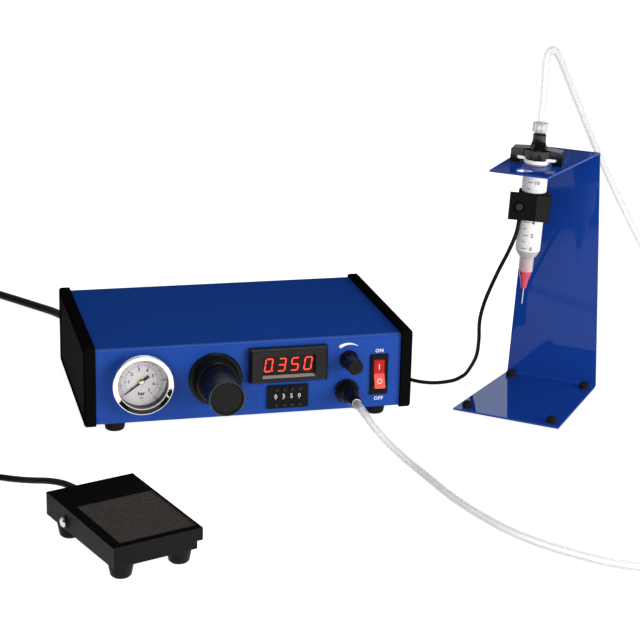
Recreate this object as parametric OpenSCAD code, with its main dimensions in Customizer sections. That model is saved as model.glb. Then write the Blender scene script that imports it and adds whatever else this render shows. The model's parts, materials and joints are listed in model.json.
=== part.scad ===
// Bench-top fluid dispenser set: timer controller, foot pedal, syringe stand and a 10 cc syringe.
// Millimetres, +Z up. X runs along the controller's front from left to right and Y runs to the back.
// The origin lies on the bench, under the middle of the set without its free cords.

/* [Case] */
// Length of the folded sheet case, without its end cheeks
shell_w = 230; // [200:1:280]
// Depth of the case
shell_d = 155; // [140:1:200]
// Height of the case
shell_h = 57; // [54:1:75]
// Thickness of the case sheet
sheet_t = 1.5; // [1:0.1:2]
// Outside radius of the fold between front and top
bend_r = 3; // [2.5:0.1:6]
// Depth of the flange folded in under the front
lip_d = 8; // [5:1:12]
// Thickness of a moulded end cheek
cheek_t = 8.5; // [5:0.5:12]
// How far a cheek stands out past the case at front, back and top
cheek_over = 2.6; // [1:0.1:5]
// How far a cheek reaches below the case
cheek_under = 1.5; // [0:0.1:3]
// Width of the smooth rim round a cheek's grained panel
cheek_rim = 4; // [2:0.5:8]
// Height of the rubber feet
foot_h = 9; // [6:0.5:14]
// Diameter of a rubber foot where it meets the case
foot_d = 17; // [12:0.5:24]
// Distance from the case's edges to a foot's centre
foot_in = 15.5; // [14:0.5:30]

/* [Panel] */
// Free lengths along the panel: left of the gauge, before the regulator, the display, the outlet and the switch,
// and right of the switch. Together they share what the controls leave of the case's length.
panel_rooms = [10.7, 12.5, 4.7, 7.1, 9, 9.9];

/* [Gauge] */
// Gauge centre above the case's bottom
gauge_z = 32.2; // [30:0.1:34]
// Outside diameter of the bezel
bezel_d = 45; // [40:0.5:46]
// How far the bezel stands out of the panel
bezel_out = 12; // [8:0.1:14]
// Depth of the can behind the panel
can_depth = 26; // [15:1:40]
// Angle of the pointer at zero pressure, from the right, counterclockwise
pointer_zero = 217; // [200:1:230]

/* [Regulator] */
// Regulator centre above the case's bottom
regulator_z = 30.2; // [27:0.1:33]
// Diameter of the panel ring
ring_d = 40; // [36:0.5:44]
// Diameter of the knob
knob_d = 26.5; // [22:0.5:30]
// Length of the knob
knob_len = 27.4; // [20:0.1:32]
// How far the knob pulls out to unlock
knob_pull = 3; // [2:0.5:4]

/* [Display] */
// Display centre above the case's bottom
display_z = 39.2; // [38:0.1:41]
// Width of the display bezel
display_w = 59; // [50:0.5:62]
// Height of the display bezel
display_h = 26.5; // [24:0.1:28]
// How far the bezel stands out of the panel
display_out = 7; // [3:0.1:9]
// Width of the sunk window
window_w = 40; // [34:0.5:46]
// Height of the sunk window
window_h = 15; // [13:0.1:17]

/* [Pushwheel] */
// How far the pushwheel's centre lies right of the display's
wheel_offset = 0.5; // [-2:0.1:3]
// Pushwheel centre above the case's bottom
wheel_z = 13.2; // [12:0.1:14]
// Width of one digit section
digit_pitch = 6; // [5.5:0.1:6.4]
// Height of the frame
wheel_frame_h = 17.8; // [17:0.1:19]
// Radius of a digit wheel
digit_r = 6.4; // [5.8:0.1:6.6]
// Travel of a plus or minus button
button_travel = 1.2; // [0.8:0.1:1.3]

/* [Rocker switch] */
// Switch centre above the case's bottom
switch_z = 25.9; // [24:0.1:30]
// Width of the switch frame
switch_w = 13.7; // [13:0.1:15]
// Height of the switch frame
switch_h = 31.8; // [30:0.1:34]
// Angle that the rocker turns between on and off
rocker_throw = 20; // [14:1:22]

/* [Vacuum knob] */
// How far the vacuum knob's centre lies left of the outlet's
vacuum_offset = -1.4; // [-2:0.1:3]
// Vacuum knob centre above the case's bottom
vacuum_z = 38.8; // [38:0.1:43]
// Diameter of the knob at its foot
vacuum_d = 13.6; // [12:0.1:16]
// Length of the knob
vacuum_len = 18.5; // [12:0.5:22]

/* [Air outlet] */
// Outlet centre above the case's bottom
outlet_z = 14.6; // [13:0.1:17]
// Diameter of the ribbed outlet flange
outlet_d = 18.4; // [16:0.1:20]
// How far the hose connector stands out of the panel
outlet_out = 30; // [20:0.5:34]
// Outside diameter of the clear hose
hose_d = 6; // [5:0.5:8]

/* [Rear fittings] */
// Supply air inlet from the case's right end
inlet_x = 110; // [90:1:130]
// Height of the rear fittings above the case's bottom
rear_z = 20; // [16:0.5:30]
// Inlet bore, for a tube of this diameter
inlet_d = 6; // [4:0.5:8]
// Exhaust silencer from the case's right end
silencer_x = 65; // [60:1:80]
// Pedal socket from the case's right end
pedal_socket_x = 44; // [42:1:48]
// Finger switch socket from the case's right end
finger_socket_x = 22; // [18:1:25]
// Mains cord from the case's left end
mains_x = 25; // [18:1:40]

/* [Stand] */
// Width of the base plate at its front edge
stand_w = 85; // [75:0.5:100]
// Depth of the base plate
stand_d = 105; // [100:0.5:130]
// Height of the shelf's upper face above the bench
stand_h = 192; // [175:0.5:230]
// Loss of width on each side, for each millimetre along the blank
stand_taper = 0.051; // [0.02:0.001:0.06]
// Height of the base plate's lower face above the bench
stand_lift = 2; // [1:0.1:4]
// Outside radius of the stand's folds
stand_bend = 3; // [2.5:0.1:6]
// Diameter of the front hole, for slim barrels
small_hole_d = 14; // [10:0.5:15]
// Diameter of the middle hole, for the 10 cc barrel
barrel_hole_d = 20; // [20:0.5:22]
// Diameter of the back hole, for wide barrels
large_hole_d = 26; // [22:0.5:28]
// Distance of the small hole from the shelf's front edge
small_hole_y = 14; // [12:0.5:15]
// Distance of the middle hole from the shelf's front edge
barrel_hole_y = 38.5; // [36:0.5:42]
// Distance of the back hole from the shelf's front edge
large_hole_y = 80; // [76:0.5:84]

/* [Syringe] */
// Outside diameter of the barrel
barrel_d = 18.4; // [17:0.1:19]
// Wall of the barrel
barrel_wall = 1.3; // [0.8:0.1:1.8]
// Length of the barrel below the shelf
barrel_len = 73.5; // [65:0.5:90]
// How far the syringe hangs out of plumb
lean = 2.8; // [0:0.1:3]
// Span of the adapter's wings
adapter_span = 38.7; // [36:0.1:46]
// Travel of the piston
piston_travel = 36; // [20:1:38]
// Length of the needle's moulded hub
needle_hub = 14; // [10:0.5:18]
// Length of the bare needle
needle_len = 12.5; // [6:0.5:25]

/* [Finger switch] */
// Height of the strap
strap_h = 20.5; // [15:0.5:25]
// Distance of the strap's top below the shelf's upper face
strap_drop = 20.5; // [15:0.5:30]
// Diameter of the finger button
finger_d = 5.6; // [4:0.1:8]
// Travel of the finger button
finger_travel = 0.8; // [0.5:0.1:1]

/* [Foot pedal] */
// Width of the treadle
pedal_w = 62; // [56:0.5:75]
// Length of the treadle
pedal_l = 91.4; // [85:0.1:110]
// Height of the treadle's top at its front edge
pedal_front_h = 24.2; // [23:0.1:27]
// Height of the treadle's top at its back edge
pedal_back_h = 28.2; // [26:0.1:32]
// Thickness of the treadle's skirt and top
treadle_t = 2; // [1.5:0.1:2.4]
// Distance of the hinge pins from the back edge
pivot_back = 26.8; // [20:0.1:29]
// Height of the hinge pins
pivot_z = 17.6; // [17:0.1:18.5]
// Angle that the treadle turns
pedal_throw = 2; // [1:0.1:2.2]
// Number of tread ribs
tread_ribs = 20; // [10:1:24]

/* [Cords] */
// Diameter of the mains cord
mains_d = 7; // [6:0.5:8]
// Diameter of the pedal cord
pedal_cord_d = 4.5; // [4:0.5:5]
// Diameter of the finger switch lead
lead_d = 3; // [2.5:0.5:4]

/* [Hidden] */

$fn = 48;
eps = 0.01;
// Gap between parts that are fitted into each other and don't move
fit = 0.1;
// Radial clearance of a shaft in its bore
run = 0.05;
// Gap between parts that pass each other
gap = 0.3;

// Places of the three units on the bench, and the two that stand turned
controller_at = [-175, 40, 0];
stand_at = [130.8, 12.6, 0];
stand_turn = -40.4;
pedal_at = [-168, -199.6, 0];
pedal_turn = 19.6;

// Panel: the controls stand in a row, with the free lengths between them
panel_free = shell_w - bezel_d - ring_d - display_w - outlet_d - switch_w;
function room(n) = n == 0 ? 0 : room(n - 1) + panel_free * panel_rooms[n - 1] / (panel_rooms * [1, 1, 1, 1, 1, 1]);
gauge_x = room(1) + bezel_d / 2;
regulator_x = room(2) + bezel_d + ring_d / 2;
display_x = room(3) + bezel_d + ring_d + display_w / 2;
wheel_x = display_x + wheel_offset;
outlet_x = room(4) + bezel_d + ring_d + display_w + outlet_d / 2;
vacuum_x = outlet_x - vacuum_offset;
switch_x = room(5) + bezel_d + ring_d + display_w + outlet_d + switch_w / 2;

// Gauge
can_r = bezel_d / 2 - 2.5;
bezel_wide = 4;
bezel_h = 5;
gauge_bore_r = can_r - 0.6;
roll_r = (bezel_d / 2 - gauge_bore_r - fit) / 2;
dial_seat = 1.5;
dial_t = 0.6;
lens_t = 1;
lens_out = bezel_out - 1.4;
dial_rim = lens_out - lens_t - dial_seat - dial_t - fit;
arbor_r = 0.8;
pointer_lift = 0.9;
pointer_t = 0.5;
pointer_r = gauge_bore_r - 4.4;

// Regulator, measured out from the panel
ring_t = 3;
step_t = 8;
bonnet_t = 6;
bonnet_out = ring_t + step_t + bonnet_t;
bonnet_r = knob_d / 2 + 0.6;
step_r = bonnet_r + 2;
knob_gap = 0.6;
knob_out = bonnet_out + knob_gap + knob_len;
spindle_r = 4;
spindle_out = knob_out - 8;
knob_flutes = 36;

// Display
display_bevel = 1.6;
display_cut = 3;
module_depth = 20;

// Pushwheel: each digit sits in a chamber behind a window in the frame's face
digits = 4;
wheel_frame_w = digits * digit_pitch + 6.8;
wheel_out = 2.2;
wheel_depth = 15;
wheel_skin = 1;
wheel_t = digit_pitch - 1.4;
wheel_gap = 0.2;
wheel_centre = wheel_out - wheel_skin - wheel_gap - digit_r;
wheel_pin_r = 1;
button_w = 2.6;
button_h = 2.2;
button_off = 6.1;
button_proud = 1.3;

// Rocker switch
rocker_w = switch_w - 5.2;
rocker_pivot = -1.5;
rocker_r = switch_h / 2 - 4.1;
rocker_lift = 3.6;
rocker_pin_r = 1.2;
rocker_depth = 5;
switch_out = 1.8;
switch_depth = 16;

// Air outlet
socket_t = 4;
plug_r = outlet_d / 2 - 1.4;
plug_straight = 8;

// Valve block and board inside the case
valve_w = 64;
valve_d = 24;
valve_h = 16;
valve_x = shell_w - silencer_x - valve_w / 2 + 1;
valve_y = 66;
valve_coil_w = 20;
valve_coil_h = 24;
silencer_in = 24;
board_x = 20;
board_y = 60;
board_w = valve_x - 18 - board_x;
board_d = 74;
board_t = 1.6;
board_lift = 8;
board_hole_in = 6;
transformer = [38, 32, 28];
winding_cut = 6;
capacitor_r = 5;
capacitor_h = 16;
relay = [20, 16, 15];

// Stand
blank_front = stand_w / 2;
blank_base = blank_front - stand_taper * (stand_d - stand_bend);
blank_top = blank_base - stand_taper * (stand_h - stand_lift - 2 * stand_bend);
blank_tip = blank_top - stand_taper * (stand_d - stand_bend);
stand_foot_r = 4;
stand_head_r = 4;
stand_foot_in = 8.5;

// Syringe, in its own frame: the barrel's axis at the shelf's upper face
barrel_r = barrel_d / 2;
bore_r = barrel_r - barrel_wall;
ear_span = 30;
ear_w = 14;
ear_t = 2;
ear_z = 3;
adapter_w = 11;
adapter_turn = 9.7;
wing_h = 10.4;
neck_r = 5;
neck_h = 10.6;
collar_r = 3.6;
collar_h = 1.5;
nut_r = 5.9;
nut_h = 6.5;
nut_z = wing_h + 1 + neck_h + collar_h;
shoulder_h = 6;
hub_r = 5.4;
hub_h = 10.5;
piston_top = -14;
piston_h = 16;
seat_lift = (adapter_span / 2 * cos(adapter_turn) + adapter_w / 2 * sin(adapter_turn)) * sin(lean);
strap_t = 1.9;
strap_turn = 20;
panel_left = 17.4;
panel_right = 13.2;
panel_t = 3.6;
button_x = -9.8;

// Pedal, in its own frame: middle of the treadle's front edge on the bench
skirt_front_z = 11;
skirt_back_z = 12.8;
base_in = treadle_t + 1.6;
base_floor_z = 9.6;
base_wall = 2;
base_top_z = 18.6;
leg_top_r = 8.4;
leg_bottom_r = 6.6;
leg_x = 20.2;
leg_front_y = 11;
leg_back_y = pedal_l - 11;
pin_r = 2;
pin_boss_r = 4.6;
tread_in = 7;
tread_in_right = 1.8;
tread_front = 5;
tread_len = 0.62 * pedal_l;
tread_w = pedal_w - tread_in - tread_in_right;
tread_sink = 0.8;
spring_y = 24;
spring_r = 4.2;
wire_r = 0.5;
spring_turns = 4;
switch_y = 44;
notch_w = 4;
notch_h = 5;
bush_x = 3.5;
bush_z = 14;
bush_r = 4;
bush_out = 1.6;

// Pieces that join the units to their places
module at_controller() translate(controller_at + [0, 0, foot_h]) children();
module at_panel(x, z) at_controller() translate([x, 0, z]) rotate([90, 0, 0]) children();
module at_rear(x, z) at_controller() translate([x, shell_d, z]) rotate([90, 0, 180]) children();
module at_stand() translate(stand_at) rotate([0, 0, stand_turn]) children();
module at_syringe()
    at_stand() translate([0, barrel_hole_y, stand_h + seat_lift]) rotate([0, lean, 0]) children();
module at_strap() at_syringe() translate([0, 0, -seat_lift]) rotate([0, 0, strap_turn]) children();
module at_pedal() translate(pedal_at) rotate([0, 0, pedal_turn]) children();
module digit_places(i) translate([(i - (digits - 1) / 2) * digit_pitch, 0, 0]) children();

// Shapes used more than once
module rounded(w, h, r) {
    translate([0, r]) square([w, h - 2 * r]);
    translate([r, 0]) square([w - 2 * r, h]);
    for (x = [r, w - r], y = [r, h - r]) translate([x, y]) circle(r);
}
module block(w, h, d, out = 0) translate([-w / 2, -h / 2, out - d]) cube([w, h, d]);
module quarter_ring(r, t) intersection() {
    difference() {
        circle(r);
        circle(r - t);
    }
    translate([-r, 0]) square(r);
}
module along_x(length) rotate([90, 0, 90]) linear_extrude(length) children();
module tapered_foot(h, top_r, bottom_r, edge) rotate_extrude() {
    polygon([[0, 0], [bottom_r - edge, 0], [bottom_r, edge], [top_r, h], [0, h]]);
}

// Cord sweep: rings of a tube round a smooth curve through chosen points
function unit(v) = v / norm(v);
function curve_point(a, b, c, d, t) =
    0.5 * (2 * b + (c - a) * t + (2 * a - 5 * b + 4 * c - d) * t * t + (3 * b - a - 3 * c + d) * t * t * t);
function smooth(p, steps) = let (last = len(p) - 1) concat(
    [for (i = [0:last - 1], j = [0:steps - 1])
        curve_point(p[max(i - 1, 0)], p[i], p[i + 1], p[min(i + 2, last)], j / steps)],
    [p[last]]);
function heading(p, i) = unit(p[min(i + 1, len(p) - 1)] - p[max(i - 1, 0)]);
function carried(p, i, n) = i == len(p) ? [] :
    let (t = heading(p, i), m = unit(n - (n * t) * t)) concat([m], carried(p, i + 1, m));
module tube(points, d, sides, steps) {
    p = smooth(points, steps);
    first = heading(p, 0);
    n = carried(p, 0, abs(first[2]) > 0.7 ? [1, 0, 0] : [0, 0, 1]);
    rings = [for (i = [0:len(p) - 1], k = [0:sides - 1])
        let (t = heading(p, i), a = 360 * k / sides) p[i] + d / 2 * (cos(a) * n[i] + sin(a) * cross(t, n[i]))];
    last = (len(p) - 1) * sides;
    sides_faces = [for (i = [0:len(p) - 2], k = [0:sides - 1], half = [0, 1])
        let (a = i * sides + k, b = i * sides + (k + 1) % sides)
            half == 0 ? [a, a + sides, b] : [b, a + sides, b + sides]];
    polyhedron(rings, concat(sides_faces, [[for (k = [0:sides - 1]) k]],
        [[for (k = [sides - 1:-1:0]) last + k]]));
}
module coil(mean_r, turns_wide, d, layers)
    rotate_extrude() translate([mean_r - turns_wide * d / 2, 0]) square([turns_wide * d, layers * d]);

// Points of the turned units, on the bench
function on_syringe(z) = [
    stand_at[0] - barrel_hole_y * sin(stand_turn) + z * sin(lean) * cos(stand_turn),
    stand_at[1] + barrel_hole_y * cos(stand_turn) + z * sin(lean) * sin(stand_turn),
    stand_h + seat_lift + z * cos(lean)
];
function on_pedal(x, y, z) = pedal_at
    + [x * cos(pedal_turn) - y * sin(pedal_turn), x * sin(pedal_turn) + y * cos(pedal_turn), z];

// Routes of the free cords, chosen by hand on the bench
outlet_at = controller_at + [outlet_x, -outlet_out, foot_h + outlet_z];
hose_route = [
    outlet_at, outlet_at + [0.5, -6, -0.6], [15.6, -5, 20.3], [19, -19, 15.2], [24.5, -35, 9.4],
    [30, -52, 5.4], [34.2, -68, 3.5], [37.6, -86, 3.1], [43.6, -124, 3.1], [53, -160, 3.1],
    [66.5, -193.6, 3.1], [88, -224, 3.1], [114.2, -248.6, 3.1], [148, -262, 3.1],
    [175, -263, 3.1], [206, -252, 3.1], [236, -228, 3.1], [263, -196, 3.1], [287, -158, 3.1], [305, -118, 3.1],
    [318, -76, 3.1], [325, -36, 3.1], [327, 2, 4], [325, 34, 10], [317, 62, 26], [306, 82, 48],
    [292, 97, 76], [274, 104, 108], [250, 101.2, 147.6], [225, 91, 188],
    [211, 81.5, 210], [192.5, 69, 240], [180, 60, 260], [171, 52.6, 272], [164.5, 47.6, 275.5],
    [160, 44.4, 271], [158.6, 42.2, 260], on_syringe(50), on_syringe(36), on_syringe(nut_z + nut_h - 2)
];
mains_route = [
    controller_at + [mains_x, shell_d + 34, foot_h + rear_z], [-150, 241, 24.5], [-151, 256, 17],
    [-153, 272, 9.6], [-156, 290, 4.8], [-162, 314, 3.6], [-172, 339, 3.6], [-190, 366, 3.6],
    [-206, 389, 3.6], [-222, 410, 3.6], [-242, 426, 3.6], [-262, 433, 3.6]
];
mains_coil_at = [-276, 388, 0];
mains_coil_r = 38;
pedal_cord_route = [
    on_pedal(bush_x, pedal_l + bush_out - 1, bush_z), [-199, -102.2, 14], [-203.8, -90.6, 14],
    [-210, -79.4, 13.6], [-215.6, -71.4, 12.6], [-221.6, -63.2, 10.6], [-228, -54.4, 7.8], [-234.6, -45.4, 5],
    [-242.6, -36.6, 3], [-252, -29.8, 2.35], [-264, -25.6, 2.3], [-280, -23.8, 2.3]
];
pedal_coil_at = [-291, -56, 0];
pedal_coil_r = 28;
lead_route = [
    [141.7, 35.4, 150.6], [141.3, 38.6, 140], [138.7, 45.5, 124.6], [134.2, 56.4, 103.7], [130.2, 68.6, 79],
    [130, 77.9, 60], [132.9, 85.7, 41.6], [134.4, 94.7, 24.4], [131, 104.5, 8.6], [126.4, 107, 3.6],
    [119.6, 106, 1.6], [107, 103.4, 1.6], [96, 106.4, 1.6], [87, 115, 1.6], [80.6, 131, 1.6],
    [76.4, 154, 1.6], [73.6, 180, 1.6], [71, 202, 1.6], [66, 221, 1.6], [58, 237, 2.4],
    [47, 246, 7], [38, 243, 15], [33.6, 236, 22.4],
    controller_at + [shell_w - finger_socket_x, shell_d + 30, foot_h + rear_z]
];

// Controller case
module panel_cuts() {
    translate([gauge_x, 0, gauge_z]) rotate([90, 0, 0]) cylinder(r = can_r + gap, h = 9, center = true);
    translate([regulator_x, 0, regulator_z]) rotate([90, 0, 0])
        cylinder(r = bonnet_r + gap, h = 9, center = true);
    translate([vacuum_x, 0, vacuum_z]) rotate([90, 0, 0]) cylinder(r = 4 + gap, h = 9, center = true);
    translate([outlet_x, 0, outlet_z]) rotate([90, 0, 0]) cylinder(r = 6 + gap, h = 9, center = true);
    translate([display_x, 0, display_z]) rotate([90, 0, 0])
        block(display_w - 2 * display_cut, display_h - 2 * display_cut, 9, 4);
    translate([wheel_x, 0, wheel_z]) rotate([90, 0, 0])
        block(wheel_frame_w - 2, wheel_frame_h - 1.6, 9, 4);
    translate([switch_x, 0, switch_z]) rotate([90, 0, 0]) block(switch_w - 1.6, switch_h - 4, 9, 4);
}

module case_cover() {
    color("royalblue") at_controller() difference() {
        along_x(shell_w) {
            square([sheet_t, shell_h - bend_r]);
            translate([bend_r, shell_h - bend_r]) quarter_ring(bend_r, sheet_t);
            translate([bend_r, shell_h - sheet_t]) square([shell_d - bend_r, sheet_t]);
            translate([sheet_t - eps, sheet_t]) square([lip_d, sheet_t]);
        }
        panel_cuts();
    }
}

module chassis() {
    color("royalblue") at_controller() difference() {
        along_x(shell_w) {
            translate([sheet_t + fit, 0]) square([shell_d - sheet_t - fit, sheet_t]);
            translate([shell_d - sheet_t, 0]) square([sheet_t, shell_h - sheet_t]);
            translate([shell_d - 12, shell_h - 2 * sheet_t]) square([12, sheet_t]);
        }
        for (x = concat([for (x = [inlet_x, silencer_x, pedal_socket_x, finger_socket_x]) shell_w - x], mains_x))
            translate([x, shell_d, rear_z]) rotate([90, 0, 0]) cylinder(r = 5 + fit, h = 9, center = true);
        for (i = [0:5]) translate([shell_w - inlet_x - 65 + i * 7, shell_d - 6, shell_h / 2 + 6]) cube([3, 9, 14]);
    }
}

// One cheek, with its inner face at x = 0 and its body towards -x
module cheek() {
    depth = shell_d + 2 * cheek_over;
    height = shell_h + cheek_over + cheek_under;
    edge = 1.2;
    translate([0, -cheek_over, -cheek_under]) {
        difference() {
            hull() {
                translate([-cheek_t + edge, 0, 0]) along_x(cheek_t - edge) rounded(depth, height, 3, $fn = 32);
                translate([-cheek_t, edge, edge]) along_x(edge)
                    rounded(depth - 2 * edge, height - 2 * edge, 2.4, $fn = 32);
            }
            translate([-cheek_t - 1, cheek_rim, cheek_rim]) along_x(1.8)
                rounded(depth - 2 * cheek_rim, height - 2 * cheek_rim, 2);
        }
    }
    // Locating rib just inside the case
    translate([0, sheet_t + lip_d + 1, 2 * sheet_t + fit]) difference() {
        cube([4, shell_d - 2 * sheet_t - lip_d - 14, shell_h - 4 * sheet_t - 2 * fit]);
        translate([-1, 2, 2]) cube([6, shell_d - 2 * sheet_t - lip_d - 18, shell_h - 4 * sheet_t - 4 - 2 * fit]);
    }
}

module end_cheeks() {
    color("dimgray") at_controller() {
        cheek();
        translate([shell_w, 0, 0]) mirror([1, 0, 0]) cheek();
    }
}

module controller_feet() {
    color("black") for (x = [foot_in, shell_w - foot_in], y = [foot_in - 2, shell_d - foot_in])
        translate([controller_at[0] + x, controller_at[1] + y, 0])
            tapered_foot(foot_h, foot_d / 2, foot_d / 2 - 1.4, 1);
}

// Pressure gauge
module gauge_case() {
    color("gainsboro") at_panel(gauge_x, gauge_z) {
        difference() {
            rotate_extrude($fn = 64) {
                polygon([
                    [0, -can_depth], [can_r, -can_depth], [can_r, 0], [can_r + 1, 0],
                    [can_r + 1, bezel_out - bezel_h], [bezel_d / 2 - 0.6, bezel_out - bezel_h],
                    [bezel_d / 2, bezel_out - bezel_h + 0.6],
                    [bezel_d / 2, bezel_out - roll_r], [bezel_d / 2 - roll_r, bezel_out - 0.2],
                    [bezel_d / 2 - bezel_wide, lens_out + 0.4], [bezel_d / 2 - bezel_wide, lens_out],
                    [gauge_bore_r + fit, lens_out], [gauge_bore_r + fit, dial_seat], [0, dial_seat]
                ]);
                // Rolled front edge of the bezel
                translate([bezel_d / 2 - roll_r, bezel_out - roll_r]) circle(roll_r);
            }
            translate([0, 0, -4]) cylinder(r = arbor_r + run, h = 10);
        }
        translate([0, 0, -can_depth - 12]) cylinder(r = 4.8, h = 12);
        translate([0, 0, -can_depth - 4]) cylinder(r = 8, h = 4, $fn = 6);
    }
}

module gauge_dial() {
    color("whitesmoke") at_panel(gauge_x, gauge_z) difference() {
        translate([0, 0, dial_seat]) union() {
            cylinder(r = gauge_bore_r, h = dial_t);
            difference() {
                cylinder(r = gauge_bore_r, h = dial_t + dial_rim);
                translate([0, 0, dial_t]) cylinder(r = gauge_bore_r - 0.9, h = 9);
            }
        }
        cylinder(r = 1.2, h = 9);
    }
}

module gauge_pointer() {
    color("black") at_panel(gauge_x, gauge_z) rotate([0, 0, pointer_zero]) {
        base = dial_seat + dial_t + pointer_lift;
        translate([0, 0, -3]) cylinder(r = arbor_r, h = base + 3);
        translate([0, 0, base]) linear_extrude(pointer_t)
            polygon([[-6.4, 1.1], [-6.4, -1.1], [0, -0.6], [pointer_r, -0.12], [pointer_r, 0.12], [0, 0.6]]);
        translate([0, 0, base - 0.2]) cylinder(r = 1.9, h = pointer_t + 0.6);
    }
}

module gauge_lens() {
    color("azure", 0.3) at_panel(gauge_x, gauge_z) translate([0, 0, lens_out - lens_t])
        cylinder(r = gauge_bore_r, h = lens_t);
}

// Pressure regulator: fixed body and bonnet, turning spindle, knob that slides on the spindle
module regulator_body() {
    color("black") at_panel(regulator_x, regulator_z) difference() {
        union() {
            rotate_extrude($fn = 64) polygon([
                [0, 0], [ring_d / 2, 0], [ring_d / 2, ring_t - 0.8], [ring_d / 2 - 0.8, ring_t],
                [step_r, ring_t], [step_r, ring_t + step_t - 1.2], [step_r - 1, ring_t + step_t],
                [step_r + 1.6, ring_t], [step_r, ring_t + 1.6], [step_r, ring_t + step_t - 1],
                [step_r - 0.8, ring_t + step_t], [bonnet_r, ring_t + step_t], [bonnet_r - 0.5, bonnet_out],
                [0, bonnet_out]
            ]);
            translate([0, 0, -8]) cylinder(r = bonnet_r, h = 8);
            translate([0, 0, -34]) cylinder(r = 17, h = 26);
            translate([0, 0, -40]) cylinder(r = 9, h = 6);
            translate([0, 0, -24]) rotate([0, 90, 0]) cylinder(r = 6, h = 38, center = true, $fn = 6);
        }
        translate([0, 0, -7]) cylinder(r = spindle_r + run, h = bonnet_out + 8);
    }
}

module regulator_spindle() {
    color("silver") at_panel(regulator_x, regulator_z) {
        translate([0, 0, -6.8]) cylinder(r = spindle_r, h = spindle_out + 6.8);
    }
}

module regulator_knob() {
    color("black") at_panel(regulator_x, regulator_z) translate([0, 0, bonnet_out + knob_gap])
        difference() {
            rotate_extrude($fn = 64) polygon([
                [0, 0], [knob_d / 2 - 0.4, 0], [knob_d / 2, 0.6], [knob_d / 2, knob_len - 0.8],
                [knob_d / 2 - 0.8, knob_len], [knob_d / 2 - 1.8, knob_len],
                [knob_d / 2 - 2.2, knob_len - 0.8], [0, knob_len - 0.8]
            ]);
            for (i = [0:knob_flutes - 1]) rotate([0, 0, i * 360 / knob_flutes])
                translate([knob_d / 2 + 0.35, 0, 2]) cylinder(r = 0.8, h = knob_len - 5, $fn = 16);
            translate([0, 0, -1]) difference() {
                cylinder(r = knob_d / 2 - 2.4, h = knob_len - 4);
                cylinder(r = 6.6, h = knob_len);
            }
            translate([0, 0, -1]) cylinder(r = spindle_r + run, h = spindle_out - bonnet_out + knob_pull + 1);
        }
}

// Time display
module display_bezel() {
    color("black") at_panel(display_x, display_z) difference() {
        union() {
            hull() {
                block(display_w, display_h, display_out - display_bevel, display_out - display_bevel);
                block(display_w - 2 * display_bevel, display_h - 2 * display_bevel, display_out, display_out);
            }
            block(display_w - 2 * display_cut - 0.4, display_h - 2 * display_cut - 0.4, 8);
        }
        block(window_w, window_h, 30, 20);
        // Sloping ledge below the window
        rotate([90, 0, 90]) translate([0, 0, -window_w / 2]) linear_extrude(window_w)
            polygon([[-window_h / 2 + eps, display_out - 2.5], [-window_h / 2 + eps, display_out + 1.5],
                [-window_h / 2 - 2, display_out + 1.5],
                [-window_h / 2 - 2, display_out]]);
    }
}

module display_module() {
    color("darkred") at_panel(display_x, display_z) {
        block(window_w - 2 * fit, window_h - 2 * fit, 12, display_out - 3.1);
        block(display_w - 2 * display_cut - 1, display_h - 2 * display_cut - 1, 1.8, -8);
        block(window_w, window_h - 3, module_depth - 9, -9);
    }
}

// Pushwheel switch
module pushwheel_frame() {
    color("black") at_panel(wheel_x, wheel_z) {
        difference() {
            union() {
                block(wheel_frame_w, wheel_frame_h, wheel_out, wheel_out);
                block(wheel_frame_w - 2.6, wheel_frame_h - 2.2, wheel_depth);
            }
            for (i = [0:digits - 1]) digit_places(i) {
                block(wheel_t + 0.5, 2 * digit_r + 0.8, digit_r * 2 + 0.8, wheel_out - wheel_skin);
                block(3.4, 4.8, 9, 5);
                for (s = [-1, 1]) translate([0, s * button_off, 0])
                    block(button_w + 0.2, button_h + 0.2, 9, 5);
            }
        }
        // Pin that carries the four wheels
        translate([0, 0, wheel_centre]) rotate([0, 90, 0])
            cylinder(r = wheel_pin_r, h = digits * digit_pitch, center = true);
    }
}

module digit_wheel(i) {
    color("black") at_panel(wheel_x, wheel_z) digit_places(i) translate([0, 0, wheel_centre])
        rotate([0, 90, 0]) difference() {
            cylinder(r = digit_r, h = wheel_t, center = true);
            cylinder(r = wheel_pin_r + run, h = wheel_t + 1, center = true);
        }
}
module digit_wheel_1() digit_wheel(0);
module digit_wheel_2() digit_wheel(1);
module digit_wheel_3() digit_wheel(2);
module digit_wheel_4() digit_wheel(3);

module step_button(i, s) {
    color("dimgray") at_panel(wheel_x, wheel_z) digit_places(i) translate([0, s * button_off, 0])
        block(button_w, button_h, button_proud + wheel_out - button_travel / 4, wheel_out + button_proud);
}
module plus_button_1() step_button(0, 1);
module plus_button_2() step_button(1, 1);
module plus_button_3() step_button(2, 1);
module plus_button_4() step_button(3, 1);
module minus_button_1() step_button(0, -1);
module minus_button_2() step_button(1, -1);
module minus_button_3() step_button(2, -1);
module minus_button_4() step_button(3, -1);

// Lit rocker switch
module rocker_frame() {
    color("black") at_panel(switch_x, switch_z) difference() {
        union() {
            hull() {
                block(switch_w, switch_h, switch_out - 0.6, switch_out - 0.6);
                block(switch_w - 1.2, switch_h - 1.2, switch_out, switch_out);
            }
            block(switch_w - 2, switch_h - 4.4, switch_depth);
        }
        block(rocker_w + 0.4, 2 * rocker_r + 0.5, switch_depth - 1, 3.4);
        translate([0, 0, rocker_pivot]) rotate([0, 90, 0])
            cylinder(r = rocker_pin_r + run, h = rocker_w + 2, center = true);
    }
}

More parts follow.
